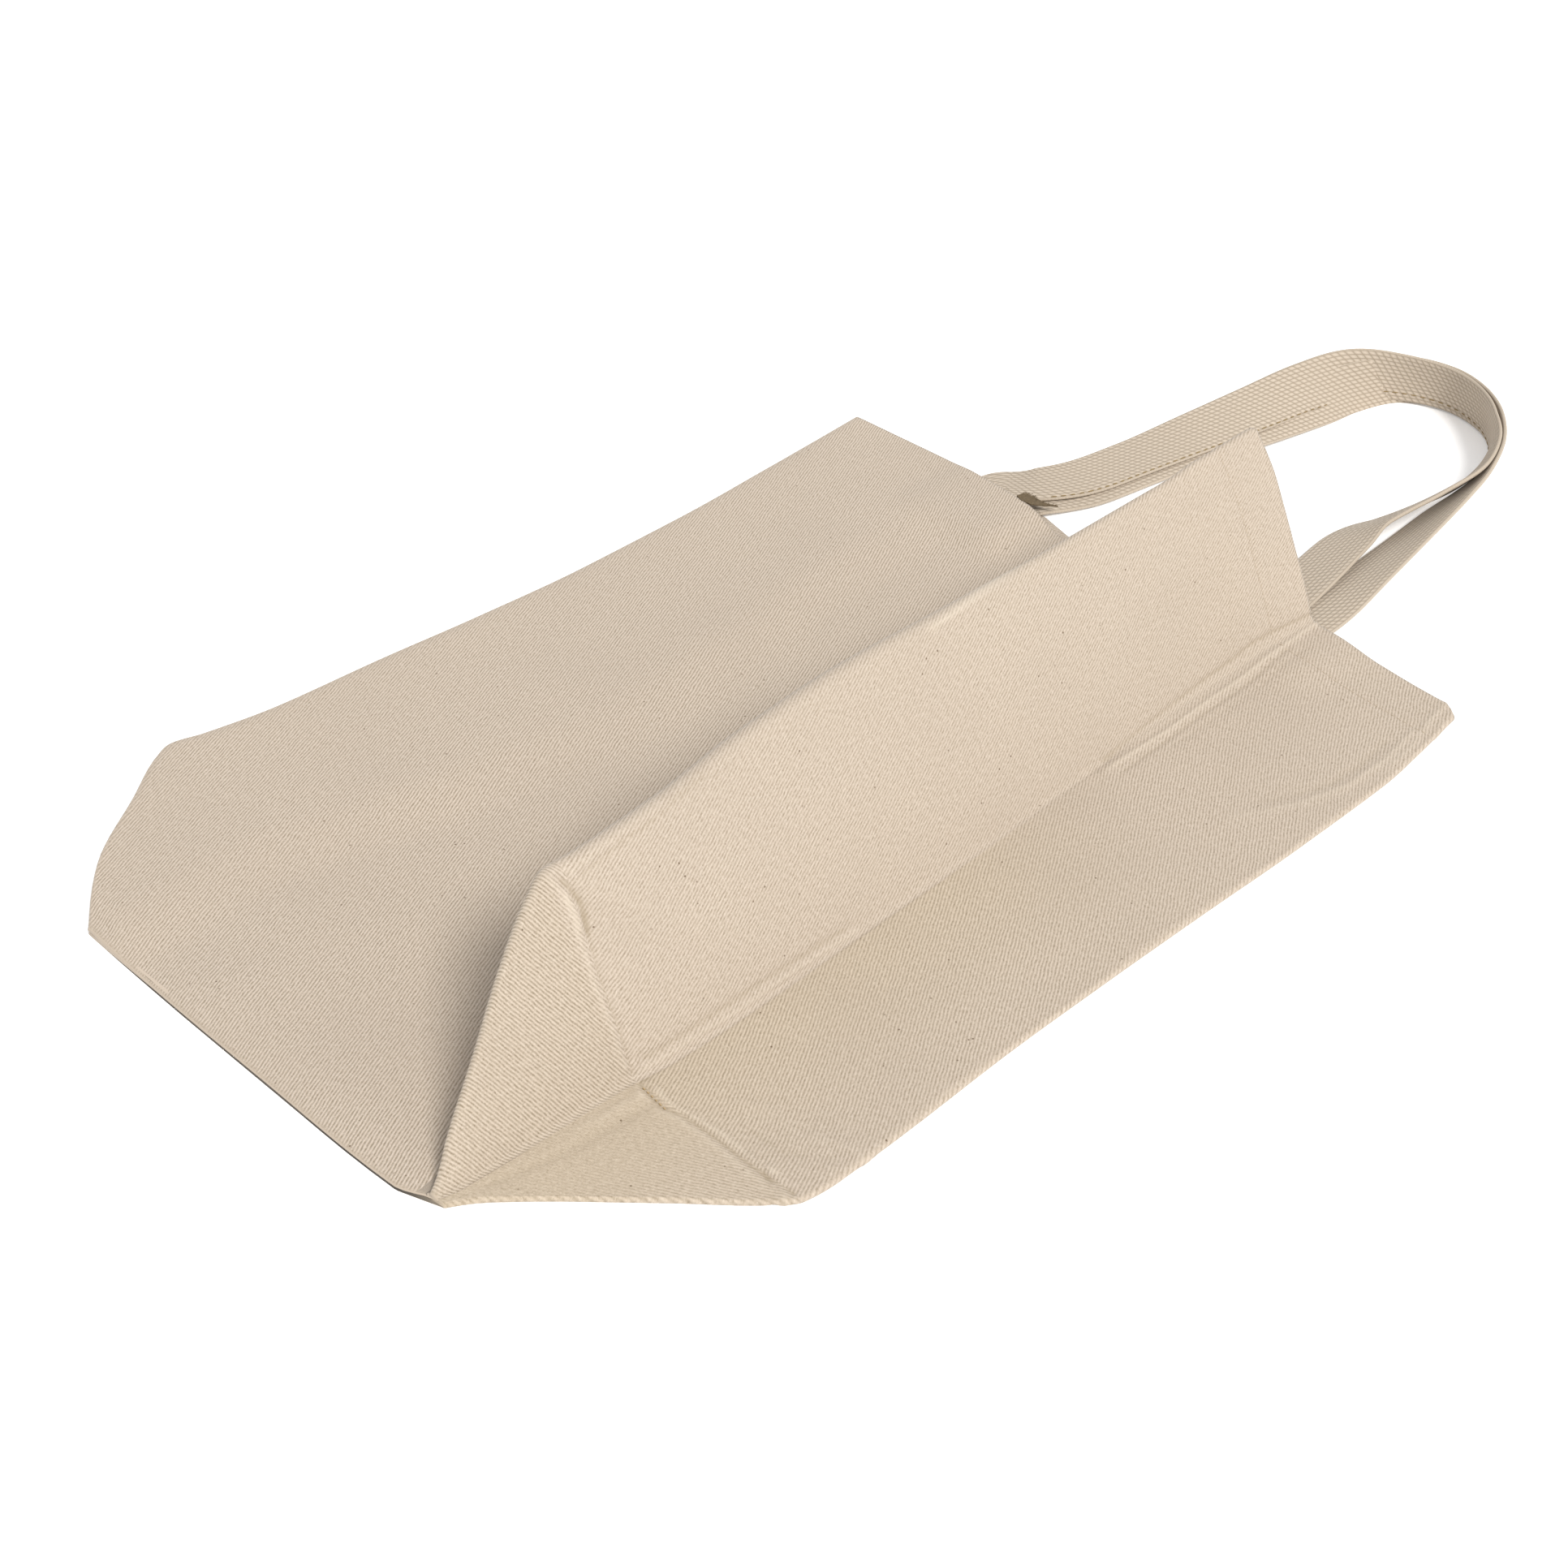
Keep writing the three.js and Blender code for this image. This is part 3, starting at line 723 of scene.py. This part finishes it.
# Handles: webbing swept along its middle line with soft selvedges
def catmullRom(points, perRow):
    points = np.asarray(points, float)
    ends = np.concatenate([[2 * points[0] - points[1]], points, [2 * points[-1] - points[-2]]])
    out, params = [], []
    for i in range(1, len(ends) - 2):
        p0, p1, p2, p3 = ends[i - 1:i + 3]
        d0, d1, d2 = (max(1e-4, np.linalg.norm(b - a) ** 0.5) for a, b in ((p0, p1), (p1, p2), (p2, p3)))
        m1 = ((p1 - p0) / d0 - (p2 - p0) / (d0 + d1) + (p2 - p1) / d1) * d1
        m2 = ((p2 - p1) / d1 - (p3 - p1) / (d1 + d2) + (p3 - p2) / d2) * d1
        last = i == len(ends) - 3
        for t in np.linspace(0, 1, perRow + 1)[:None if last else -1]:
            out.append((2 * t ** 3 - 3 * t ** 2 + 1) * p1 + (t ** 3 - 2 * t ** 2 + t) * m1
                       + (-2 * t ** 3 + 3 * t ** 2) * p2 + (t ** 3 - t ** 2) * m2)
            params.append(i - 1 + t)
    return np.array(out), np.array(params)


# The seam along the upper strap: how far it rises up the face round the bend, by the numbers of the
# handle's points, its distance in from the edge and the points it runs between
strapSeam = {
    "rise": [[0, 0], [8.5, 0], [9.8, 3.6], [11, 3.2], [12, 2.2], [13, 0.8], [14, 0], [30, 0]],
    "inset": 1,
    "from": 3.2,
    "to": 15.4,
}
# Stitches lie this far above the cloth
stitchLift = 0.05
# A worn strap is never quite even along its edges: heights, lengths and phases
strapSway = [(0.25, 23, 0), (0.15, 9, 1)]


def makeHandle(name, rows):
    places = [(r["x"], r["y"], r["z"]) for r in rows]
    middle, params = catmullRom(places, webbing["ringsPerRow"])
    forward = np.gradient(middle, axis=0)
    forward /= np.linalg.norm(forward, axis=1)[:, None]
    outside = np.stack([-forward[:, 1], forward[:, 0], np.zeros(len(forward))], axis=1)
    outside /= np.linalg.norm(outside, axis=1)[:, None]
    lean = np.radians(throughPoints(range(len(rows)), [r["lean"] for r in rows], params))[:, None]
    across = outside * np.cos(lean) + np.array([0, 0, 1.0]) * np.sin(lean)
    across -= forward * (across * forward).sum(1)[:, None]
    across /= np.linalg.norm(across, axis=1)[:, None]
    face = np.cross(forward, across)
    half, thick = webbing["width"] / 2, webbing["plump"] / 2
    inset = webbing["flatInset"]
    flat = np.linspace(-half + inset, half - inset, webbing["flatPoints"])
    edge = [(half - inward, share) for inward, share in webbing["edge"]]
    upperSide = [(-w, t) for w, t in edge[::-1]] + [(w, 1) for w in flat] + edge
    outline = upperSide + [(w, -t) for w, t in upperSide[::-1][1:-1]]
    length = np.concatenate([[0], np.cumsum(np.linalg.norm(np.diff(middle, axis=0), axis=1))])
    sway = sum(size * np.sin(length / reach + phase) for size, reach, phase in strapSway)
    points = []
    for k in range(len(middle)):
        for w, t in outline:
            scaled = w * (1 + webbing["unevenWidth"] * sway[k])
            points.append(middle[k] + across[k] * scaled + face[k] * t * thick)
    count = len(outline)
    rings = len(middle)
    faces = gridFaces(rings, count, 0, False).tolist()
    faces.append(list(range(count))[::-1])
    faces.append(list(range((rings - 1) * count, rings * count)))
    uvPoint = [(w, length[k]) for k in range(rings) for w, t in outline]
    uvs = [uvPoint[i] for f in faces for i in f]
    obj = meshObject(name, toMetres(points), faces, np.array(uvs) / 1000)
    rise = curveThrough(strapSeam["rise"], params)[:, None]
    seamPath = middle - across * (half - strapSeam["inset"] - rise) + face * (thick + stitchLift)
    return obj, float(length[-1]), seamPath[(params > strapSeam["from"]) & (params < strapSeam["to"])]


frontHandle, frontHandleLength, strapSeamPath = makeHandle("tote_front_handle", upperHandle)
backHandle, backHandleLength, _ = makeHandle("tote_back_handle", lowerHandle)
print("handles", round(frontHandleLength), round(backHandleLength), "mm long")


# Materials
def materialTools(name):
    # A new material with short functions for its nodes
    material = bpy.data.materials.new(name)
    material.use_nodes = True
    tree = material.node_tree
    tree.nodes.clear()

    def new(kind, **settings):
        node = tree.nodes.new(kind)
        for key, value in settings.items():
            setattr(node, key, value)
        return node

    def put(socket, value):
        if isinstance(value, bpy.types.NodeSocket):
            tree.links.new(value, socket)
        else:
            socket.default_value = value

    def maths(operation, a, b=0.0, c=0.0):
        node = new("ShaderNodeMath", operation=operation)
        put(node.inputs[0], a)
        put(node.inputs[1], b)
        put(node.inputs[2], c)
        return node.outputs[0]

    def mix(share, a, b, blend="MIX"):
        node = new("ShaderNodeMix", data_type="RGBA", blend_type=blend)
        put(node.inputs[0], share)
        put(node.inputs[6], a)
        put(node.inputs[7], b)
        return node.outputs[2]

    def noise(vector, scale, detail=2.0, roughness=0.5):
        node = new("ShaderNodeTexNoise")
        put(node.inputs["Vector"], vector)
        put(node.inputs["Scale"], scale)
        put(node.inputs["Detail"], detail)
        put(node.inputs["Roughness"], roughness)
        return node.outputs["Fac"]

    def ranged(value, low, high, newLow=0.0, newHigh=1.0):
        node = new("ShaderNodeMapRange", interpolation_type="SMOOTHSTEP")
        put(node.inputs[0], value)
        put(node.inputs[1], low)
        put(node.inputs[2], high)
        put(node.inputs[3], newLow)
        put(node.inputs[4], newHigh)
        return node.outputs[0]

    def attribute(key, output="Fac"):
        return new("ShaderNodeAttribute", attribute_name=key).outputs[output]

    def weavePlace():
        uv = new("ShaderNodeUVMap", uv_map="weave").outputs[0]
        split = new("ShaderNodeSeparateXYZ")
        put(split.inputs[0], uv)
        return uv, split.outputs[0], split.outputs[1]

    def wave(phase):
        return maths("MULTIPLY_ADD", maths("SINE", phase), 0.5, 0.5)

    def layer(tone, mask, strength, colour):
        return mix(maths("MULTIPLY", mask, strength), tone, colour)

    def surface(inputs, height=None):
        shader = new("ShaderNodeBsdfPrincipled")
        for key, value in inputs.items():
            put(shader.inputs[key], value)
        if height is not None:
            bump = new("ShaderNodeBump")
            put(bump.inputs["Strength"], 1.0)
            put(bump.inputs["Distance"], 1.0)
            put(bump.inputs["Height"], height)
            put(shader.inputs["Normal"], bump.outputs[0])
        put(new("ShaderNodeOutputMaterial").inputs[0], shader.outputs[0])
        return material

    return {
        "new": new, "put": put, "maths": maths, "mix": mix, "noise": noise, "ranged": ranged,
        "attribute": attribute, "weavePlace": weavePlace, "wave": wave, "layer": layer,
        "surface": surface,
    }


twill = {
    "colour": (0.579, 0.491, 0.406, 1),
    "grooveColour": (0.262, 0.21, 0.149, 1),
    "slubColour": (0.635, 0.548, 0.463, 1),
    "cloudColour": (0.404, 0.336, 0.272, 1),
    "blotchTint": (0.925, 0.915, 0.9, 1),
    "speckColour": (0.23, 0.178, 0.123, 1),
    "fleckColour": (0.102, 0.0605, 0.0279, 1),
    # Crease colours: rubbed wear and a painted highlight on the ridges, dirt and painted shade in the
    # troughs
    "ridgeWearAndHighlight": (0.64, 0.56, 0.455, 1),
    "troughDirtAndShade": (0.27, 0.212, 0.135, 1),
    # Tint of the painted warm shade and bounce light
    "warmShadeTint": (1, 0.99, 0.93, 1),
    "ribPitch": 0.0013,
    "ribAcross": (0.891, 0.454),
    "ribWaver": 0.0009,
    "threadPitch": 0.0007,
    "ribDepth": 0.00013,
    "threadDepth": 0.00003,
    "yarnDepth": 0.00008,
    # How strongly each layer of colour shows
    "slub": 0.34,
    "cloud": 0.2,
    "speck": 0.38,
    "paleSpeck": 0.4,
    "fleck": 0.8,
    "wearAndShadeStrength": 0.6,
    "roughness": 0.95,
    "specular": 0.15,
    "sheen": 0.12,
    "sheenRoughness": 0.6,
}


def makeTwill():
    new, put, maths, mix, noise, ranged, attribute, weavePlace, wave, layer, surface = (
        materialTools("cotton_twill").values())
    uv, u, v = weavePlace()
    waver = maths("MULTIPLY", maths("SUBTRACT", noise(uv, 160, 1), 0.5), twill["ribWaver"])
    acrossU, acrossV = twill["ribAcross"]
    across = maths("ADD", maths("MULTIPLY", u, acrossU), maths("MULTIPLY", v, acrossV))
    along = maths("SUBTRACT", maths("MULTIPLY", v, acrossU), maths("MULTIPLY", u, acrossV))
    phase = maths("MULTIPLY", maths("ADD", across, waver), 2 * math.pi / twill["ribPitch"])
    rounded = maths("POWER", wave(phase), 0.85)
    threads = maths("MULTIPLY", along, 2 * math.pi / twill["threadPitch"])
    beads = wave(maths("ADD", threads, phase))
    stretched = new("ShaderNodeCombineXYZ")
    put(stretched.inputs[0], maths("MULTIPLY", across, 3.0))
    put(stretched.inputs[1], along)
    yarn = noise(stretched.outputs[0], 500, 2)
    cloud = noise(uv, 14, 3)
    fine = noise(uv, 1500, 1)
    grain = ranged(noise(uv, 900, 2), 0.4, 0.66)

    # Where the weave is quiet its grooves fade into their own mean
    kept = maths("SUBTRACT", 1.0, attribute("quiet"))
    depth = maths("MULTIPLY_ADD", grain, 0.3, 0.86)
    groove = maths("MULTIPLY_ADD", maths("SUBTRACT", 0.54, rounded), kept, 0.46)
    tone = layer(twill["colour"], groove, depth, twill["grooveColour"])
    tone = layer(tone, ranged(yarn, 0.35, 0.7), twill["slub"], twill["slubColour"])
    tone = layer(tone, ranged(cloud, 0.35, 0.75), twill["cloud"], twill["cloudColour"])
    tone = layer(tone, ranged(fine, 0.55, 0.8), twill["speck"], twill["speckColour"])
    tone = layer(tone, ranged(fine, 0.45, 0.25), twill["paleSpeck"], twill["slubColour"])
    fleckField = new("ShaderNodeTexVoronoi", feature="F1")
    put(fleckField.inputs["Vector"], uv)
    put(fleckField.inputs["Scale"], 150)
    near = ranged(fleckField.outputs["Distance"], 0.035, 0.085, 1.0, 0.0)
    chosen = ranged(noise(fleckField.outputs["Position"], 60, 0), 0.46, 0.62)
    tone = layer(tone, maths("MULTIPLY", near, chosen), twill["fleck"], twill["fleckColour"])

    # Painted warm shade and bounce light
    tone = mix(attribute("warm"), tone, twill["warmShadeTint"], "MULTIPLY")
    # Dimmed on the fin and the lower sheet: painted shade
    tone = mix(1.0, tone, attribute("pale", "Color"), "MULTIPLY")

    # Uneven take-up of the yarn, a few threads across
    uneven = ranged(noise(uv, 520, 3, 0.75), 0.38, 0.62)
    tone = mix(uneven, tone, twill["blotchTint"], "MULTIPLY")

    # Creases: rubbed wear with a painted highlight on the ridges, and painted shade in the troughs
    press = attribute("press")
    tone = layer(tone, ranged(press, 0.0, 1.0), twill["wearAndShadeStrength"], twill["ridgeWearAndHighlight"])
    tone = layer(tone, ranged(press, 0.0, -1.0), twill["wearAndShadeStrength"], twill["troughDirtAndShade"])

    ribs = maths("MULTIPLY", maths("MULTIPLY", rounded, kept), twill["ribDepth"])
    height = maths("ADD", ribs, maths("MULTIPLY", beads, twill["threadDepth"]))
    height = maths("ADD", height, maths("MULTIPLY", yarn, twill["yarnDepth"]))
    return surface({
        "Base Color": tone,
        "Roughness": twill["roughness"],
        "Specular IOR Level": twill["specular"],
        "Sheen Weight": twill["sheen"],
        "Sheen Roughness": twill["sheenRoughness"],
    }, height)


weave = {
    "colour": (0.531, 0.454, 0.369, 1),
    "grooveColour": (0.2, 0.152, 0.1, 1),
    # Selvedge band on the strap's rounded edges: the edge weave, darkened as painted shade against the
    # key light
    "selvedgeShadeColour": (0.44, 0.375, 0.3, 1),
    "cloudColour": (0.42, 0.355, 0.28, 1),
    "speckColour": (0.3, 0.24, 0.17, 1),
    "bumpLength": 0.0034,
    "rowPitch": 0.002,
    "slant": 0.45,
    "selvedge": 0.0119,
    "selvedgeBlend": 0.0005,
    "tickPitch": 0.0015,
    "depth": 0.00026,
    "fineDepth": 0.00006,
    # How strongly each layer of colour shows
    "groove": 0.72,
    "edge": 0.7,
    "cloud": 0.18,
    "speck": 0.2,
    "roughness": 0.95,
    "specular": 0.15,
    "sheen": 0.1,
}


def makeWebbing():
    new, put, maths, mix, noise, ranged, _, weavePlace, wave, layer, surface = (
        materialTools("cotton_webbing").values())
    uv, across, along = weavePlace()
    rowPlace = maths("DIVIDE", across, weave["rowPitch"])
    rowIndex = maths("FLOOR", rowPlace)
    stagger = maths("MULTIPLY", maths("MODULO", maths("ADD", rowIndex, 100.0), 2.0), 0.5)
    inRow = maths("SUBTRACT", rowPlace, rowIndex)
    place = maths("ADD", maths("DIVIDE", along, weave["bumpLength"]), stagger)
    place = maths("ADD", place, maths("MULTIPLY", inRow, weave["slant"]))
    inBump = maths("FRACT", place)
    rowShape = maths("SINE", maths("MULTIPLY", inRow, math.pi))
    bumpShape = maths("SINE", maths("MULTIPLY", inBump, math.pi))
    knots = maths("POWER", maths("MULTIPLY", rowShape, bumpShape), 0.55)
    edgeStart = weave["selvedge"]
    edge = ranged(maths("ABSOLUTE", across), edgeStart, edgeStart + weave["selvedgeBlend"])
    ticks = wave(maths("MULTIPLY", along, 2 * math.pi / weave["tickPitch"]))
    woven = mix(edge, knots, maths("MULTIPLY_ADD", ticks, 0.3, 0.5))
    wovenValue = new("ShaderNodeRGBToBW")
    put(wovenValue.inputs[0], woven)
    height = wovenValue.outputs[0]
    fine = noise(uv, 1400, 1)
    tone = layer(weave["colour"], maths("SUBTRACT", 1.0, height), weave["groove"], weave["grooveColour"])
    # Selvedge band: edge weave with painted shade
    tone = layer(tone, edge, weave["edge"], weave["selvedgeShadeColour"])
    tone = layer(tone, ranged(noise(uv, 30, 3), 0.35, 0.75), weave["cloud"], weave["cloudColour"])
    tone = layer(tone, ranged(fine, 0.5, 0.8), weave["speck"], weave["speckColour"])
    raised = maths("MULTIPLY", height, weave["depth"])
    return surface({
        "Base Color": tone,
        "Roughness": weave["roughness"],
        "Specular IOR Level": weave["specular"],
        "Sheen Weight": weave["sheen"],
    }, maths("ADD", raised, maths("MULTIPLY", fine, weave["fineDepth"])))


def makeThread(name, light, dark):
    tools = materialTools(name)
    place = tools["new"]("ShaderNodeTexCoord").outputs["Object"]
    tone = tools["mix"](tools["noise"](place, 900, 1), light, dark)
    return tools["surface"]({"Base Color": tone, "Roughness": 0.85})


twillMaterial = makeTwill()
webbingMaterial = makeWebbing()
threadMaterial = makeThread("cotton_thread", (0.52, 0.44, 0.345, 1), (0.4, 0.33, 0.25, 1))
goldThread = makeThread("gold_thread", (0.3, 0.22, 0.11, 1), (0.16, 0.11, 0.05, 1))
paleGoldThread = makeThread("pale_gold_thread", (0.5, 0.36, 0.18, 1), (0.38, 0.26, 0.12, 1))
# Very dark: painted shade of the hollow at the handles' far root
frayedThreadAndShade = makeThread("frayed_thread_and_shade", (0.17, 0.125, 0.07, 1), (0.08, 0.055, 0.03, 1))
bodyCloth.data.materials.append(twillMaterial)
frontHandle.data.materials.append(webbingMaterial)
backHandle.data.materials.append(webbingMaterial)
print("materials ready")


# Stitches and fibres along a path, made by geometry nodes and turned into a plain mesh
def pathTree(name, sizes):
    # A node group that takes a path and some sizes, with short functions for its nodes
    tree = bpy.data.node_groups.new(name, "GeometryNodeTree")
    tree.interface.new_socket("Geometry", in_out="INPUT", socket_type="NodeSocketGeometry")
    for size in sizes:
        tree.interface.new_socket(size, in_out="INPUT", socket_type="NodeSocketFloat")
    tree.interface.new_socket("Geometry", in_out="OUTPUT", socket_type="NodeSocketGeometry")

    def new(kind, inputs, **settings):
        node = tree.nodes.new(kind)
        for key, value in settings.items():
            setattr(node, key, value)
        for key, value in inputs.items():
            if isinstance(value, bpy.types.NodeSocket):
                tree.links.new(value, node.inputs[key])
            else:
                node.inputs[key].default_value = value
        return node.outputs

    def coated(geometry, material):
        coat = new("GeometryNodeSetMaterial", {0: geometry, "Material": material})
        new("NodeGroupOutput", {0: coat[0]})
        return tree

    return new("NodeGroupInput", {}), new, coated


def stitchTree(material):
    source, new, coated = pathTree("stitch_line", ("Spacing", "Length", "Width"))
    curve = new("GeometryNodeMeshToCurve", {0: source["Geometry"]})
    spacing = source["Spacing"]
    points = new("GeometryNodeCurveToPoints", {"Curve": curve[0], "Length": spacing}, mode="LENGTH")
    bead = new("GeometryNodeMeshUVSphere", {"Segments": 8, "Rings": 5, "Radius": 0.5})
    vary = new("FunctionNodeRandomValue", {2: 0.85, 3: 1.12, "Seed": 7}, data_type="FLOAT")
    longer = new("ShaderNodeMath", {0: source["Length"], 1: vary[1]}, operation="MULTIPLY")
    size = new("ShaderNodeCombineXYZ", {0: source["Width"], 1: source["Width"], 2: longer[0]})
    place = new("GeometryNodeInstanceOnPoints", {
        "Points": points["Points"], "Instance": bead["Mesh"], "Rotation": points["Rotation"],
        "Scale": size[0]})
    real = new("GeometryNodeRealizeInstances", {0: place[0]})
    return coated(real[0], material)


def fibreTree(material):
    source, new, coated = pathTree("fibres", ("Width",))
    curve = new("GeometryNodeMeshToCurve", {0: source["Geometry"]})
    ring = new("GeometryNodeCurvePrimitiveCircle", {"Resolution": 4, "Radius": source["Width"]})
    tube = new("GeometryNodeCurveToMesh", {"Curve": curve[0], "Profile Curve": ring["Curve"]})
    return coated(tube[0], material)


def alongPath(name, points, edges, tree, sizes):
    # What a node group makes on a path, in metres
    mesh = bpy.data.meshes.new(name + "_path")
    mesh.from_pydata(toMetres(points).tolist(), edges, [])
    path = placed(name + "_path", mesh)
    modifier = path.modifiers.new(name, "NODES")
    modifier.node_group = tree
    for item in tree.interface.items_tree:
        if item.item_type == "SOCKET" and item.in_out == "INPUT" and item.name in sizes:
            modifier[item.identifier] = sizes[item.name]
    made = bpy.data.meshes.new_from_object(path.evaluated_get(bpy.context.evaluated_depsgraph_get()))
    bpy.data.objects.remove(path)
    bpy.data.node_groups.remove(tree)
    return made


def makeStitches(name, line, sizes, material):
    edges = [(k, k + 1) for k in range(len(line) - 1)]
    made = alongPath(name, line, edges, stitchTree(material), sizes)
    made.name = name
    return placed(name, made)


def surfaceLine(y, wanted):
    # Part of the outer face's cross-section, at the row of the mesh nearest to y
    row = clothRows[int(np.argmin(np.abs(rowHeights - y)))]
    points = skinPoints(row, bag["thickness"] / 2 + stitchLift, 0, True)
    return points[np.isin(row["names"], wanted)]


# Metres, all but the corner's line, which is in bag coordinates
hemStitch = {"Spacing": 0.0031, "Length": 0.0024, "Width": 0.00045}
strapStitch = {"Spacing": 0.0046, "Length": 0.003, "Width": 0.0007}
cornerStitch = {"Spacing": 0.0021, "Length": 0.0016, "Width": 0.0004}
cornerLine = [(293, 0, 3), (305, -1.7, 3)]

hemLine = surfaceLine(hemY, ("fin", "seam", "lower"))
hemStitches = makeStitches("tote_hem_stitches", hemLine, hemStitch, threadMaterial)
handleStitches = makeStitches("tote_handle_stitches", strapSeamPath, strapStitch, goldThread)
print("stitches", len(hemStitches.data.polygons), "faces")

# A frayed end of the inner hem shows at the far root of the handles, coloured very dark as painted shade
# of the hollow under the strap's edge: bag coordinates, near and far side
frayed = {
    "near": [(130, 392.6), (134, 390.8), (140, 391), (145, 394.4), (150, 398.4)],
    "far": [(131.2, 396.2), (134, 397.2), (138.6, 396.8), (145, 396.4), (150, 398.7)],
    "level": 7.6,
    "farRise": 0.15,
    "thickness": 0.5,
    "fibres": 46,
    # The fibres keep this many points short of the end
    "short": 1.3,
    "fibreLength": (0.8, 3.2),
    "fibreShare": 0.45,
    "fibreBend": 0.5,
    "fibreSpread": (1, 1, 0.3),
    "fibreLift": (0, 0, 0.2),
    # Metres
    "fibreWidth": 0.00016,
}


def makeFrayedEndAndShade():
    random = np.random.default_rng(11)
    near = np.array([(x, y, frayed["level"]) for x, y in frayed["near"]])
    far = np.array([(x, y, frayed["level"] + frayed["farRise"]) for x, y in frayed["far"]])
    low, high = frayed["fibreLength"]
    points = []
    for k in range(frayed["fibres"]):
        t = random.uniform(0, 1) * (len(near) - frayed["short"])
        i, part = int(t), t - int(t)
        start = near[i] + (near[i + 1] - near[i]) * part
        end = far[i] + (far[i + 1] - far[i]) * part
        way = end - start + 1e-6
        way = way / np.linalg.norm(way)
        # Shorter towards the far end of the scrap
        longer = random.uniform(low, high) * (1 - t / 4) * frayed["fibreShare"]
        reach = np.linalg.norm(end - start) + longer
        bend = random.normal(0, frayed["fibreBend"], 3) * frayed["fibreSpread"]
        points += [start, start + way * reach * 0.5, start + way * reach + bend + frayed["fibreLift"]]
    edges = [(k + j, k + j + 1) for k in range(0, len(points), 3) for j in range(2)]
    made = alongPath("fibre", points, edges, fibreTree(frayedThreadAndShade), {"Width": frayed["fibreWidth"]})
    # The scrap of cloth the fibres come from, joined to them: a dark sheet that paints the shade of the
    # hollow
    verts = [tuple(v.co) for v in made.vertices]
    faces = [tuple(f.vertices) for f in made.polygons]
    first = len(verts)
    n = len(near)
    for level in (0.0, -frayed["thickness"]):
        verts.extend(tuple(p) for p in toMetres(near + (0, 0, level)))
        verts.extend(tuple(p) for p in toMetres(far + (0, 0, level)))
    for j in range(n - 1):
        for a, b in ((0, n), (3 * n, 2 * n), (2 * n, 0), (n, 3 * n)):
            faces.append(tuple(first + k for k in (a + j, a + j + 1, b + j + 1, b + j)))
    faces.append((first, first + n, first + 3 * n, first + 2 * n))
    faces.append((first + n - 1, first + 3 * n - 1, first + 4 * n - 1, first + 2 * n - 1))
    obj = meshObject("tote_frayed_end_and_shade", verts, faces, smooth=False)
    obj.data.materials.append(frayedThreadAndShade)
    return obj


frayedEndAndShade = makeFrayedEndAndShade()
cornerStitches = makeStitches("tote_corner_stitches", cornerLine, cornerStitch, paleGoldThread)
print("frayed end", len(frayedEndAndShade.data.polygons), "faces")

# What each piece stands for
for piece in (bodyCloth, frontHandle, backHandle, hemStitches, handleStitches, frayedEndAndShade, cornerStitches):
    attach(piece, "root")
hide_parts("body_cloth")
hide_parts("front_handle")
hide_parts("back_handle")

# Floor and light: a pale seamless floor, soft key from the bag's open side
studio = {
    "floorHalf": 8,
    "floorColour": (0.93, 0.93, 0.935, 1),
    "floorGlow": 0.2,
    "worldStrength": 0.76,
    "worldColour": (0.985, 0.99, 1, 1),
    "sunStrength": 2.95,
    "sunColour": (1, 0.985, 0.955),
    "sunAzimuth": 104,
    "sunHeight": 48,
    "sunSize": 20,
}


def makeStage():
    half = studio["floorHalf"]
    corners = [(-half, -half, 0), (half, -half, 0), (half, half, 0), (-half, half, 0)]
    mesh = bpy.data.meshes.new("floor")
    mesh.from_pydata(corners, [], [(0, 1, 2, 3)])
    floor = placed("floor", mesh)
    material = bpy.data.materials.new("floor")
    material.use_nodes = True
    shader = material.node_tree.nodes["Principled BSDF"]
    shader.inputs["Base Color"].default_value = studio["floorColour"]
    shader.inputs["Roughness"].default_value = 1
    shader.inputs["Specular IOR Level"].default_value = 0
    shader.inputs["Emission Color"].default_value = studio["floorColour"]
    shader.inputs["Emission Strength"].default_value = studio["floorGlow"]
    mesh.materials.append(material)

    world = bpy.data.worlds.new("studio")
    world.use_nodes = True
    background = world.node_tree.nodes["Background"]
    background.inputs[0].default_value = studio["worldColour"]
    background.inputs[1].default_value = studio["worldStrength"]
    bpy.context.scene.world = world

    light = bpy.data.lights.new("key", "SUN")
    light.energy = studio["sunStrength"]
    light.angle = math.radians(studio["sunSize"])
    light.color = studio["sunColour"]
    key = placed("key", light)
    # Azimuth is where the light comes from, from +Y towards +X
    tilt, turn = 90 - studio["sunHeight"], 180 - studio["sunAzimuth"]
    key.rotation_euler = (math.radians(tilt), 0, math.radians(turn))


makeStage()
scene = bpy.context.scene
scene.view_settings.view_transform = "Standard"
scene.view_settings.look = "None"
scene.view_settings.exposure = 0
scene.view_settings.gamma = 1
print("stage ready")
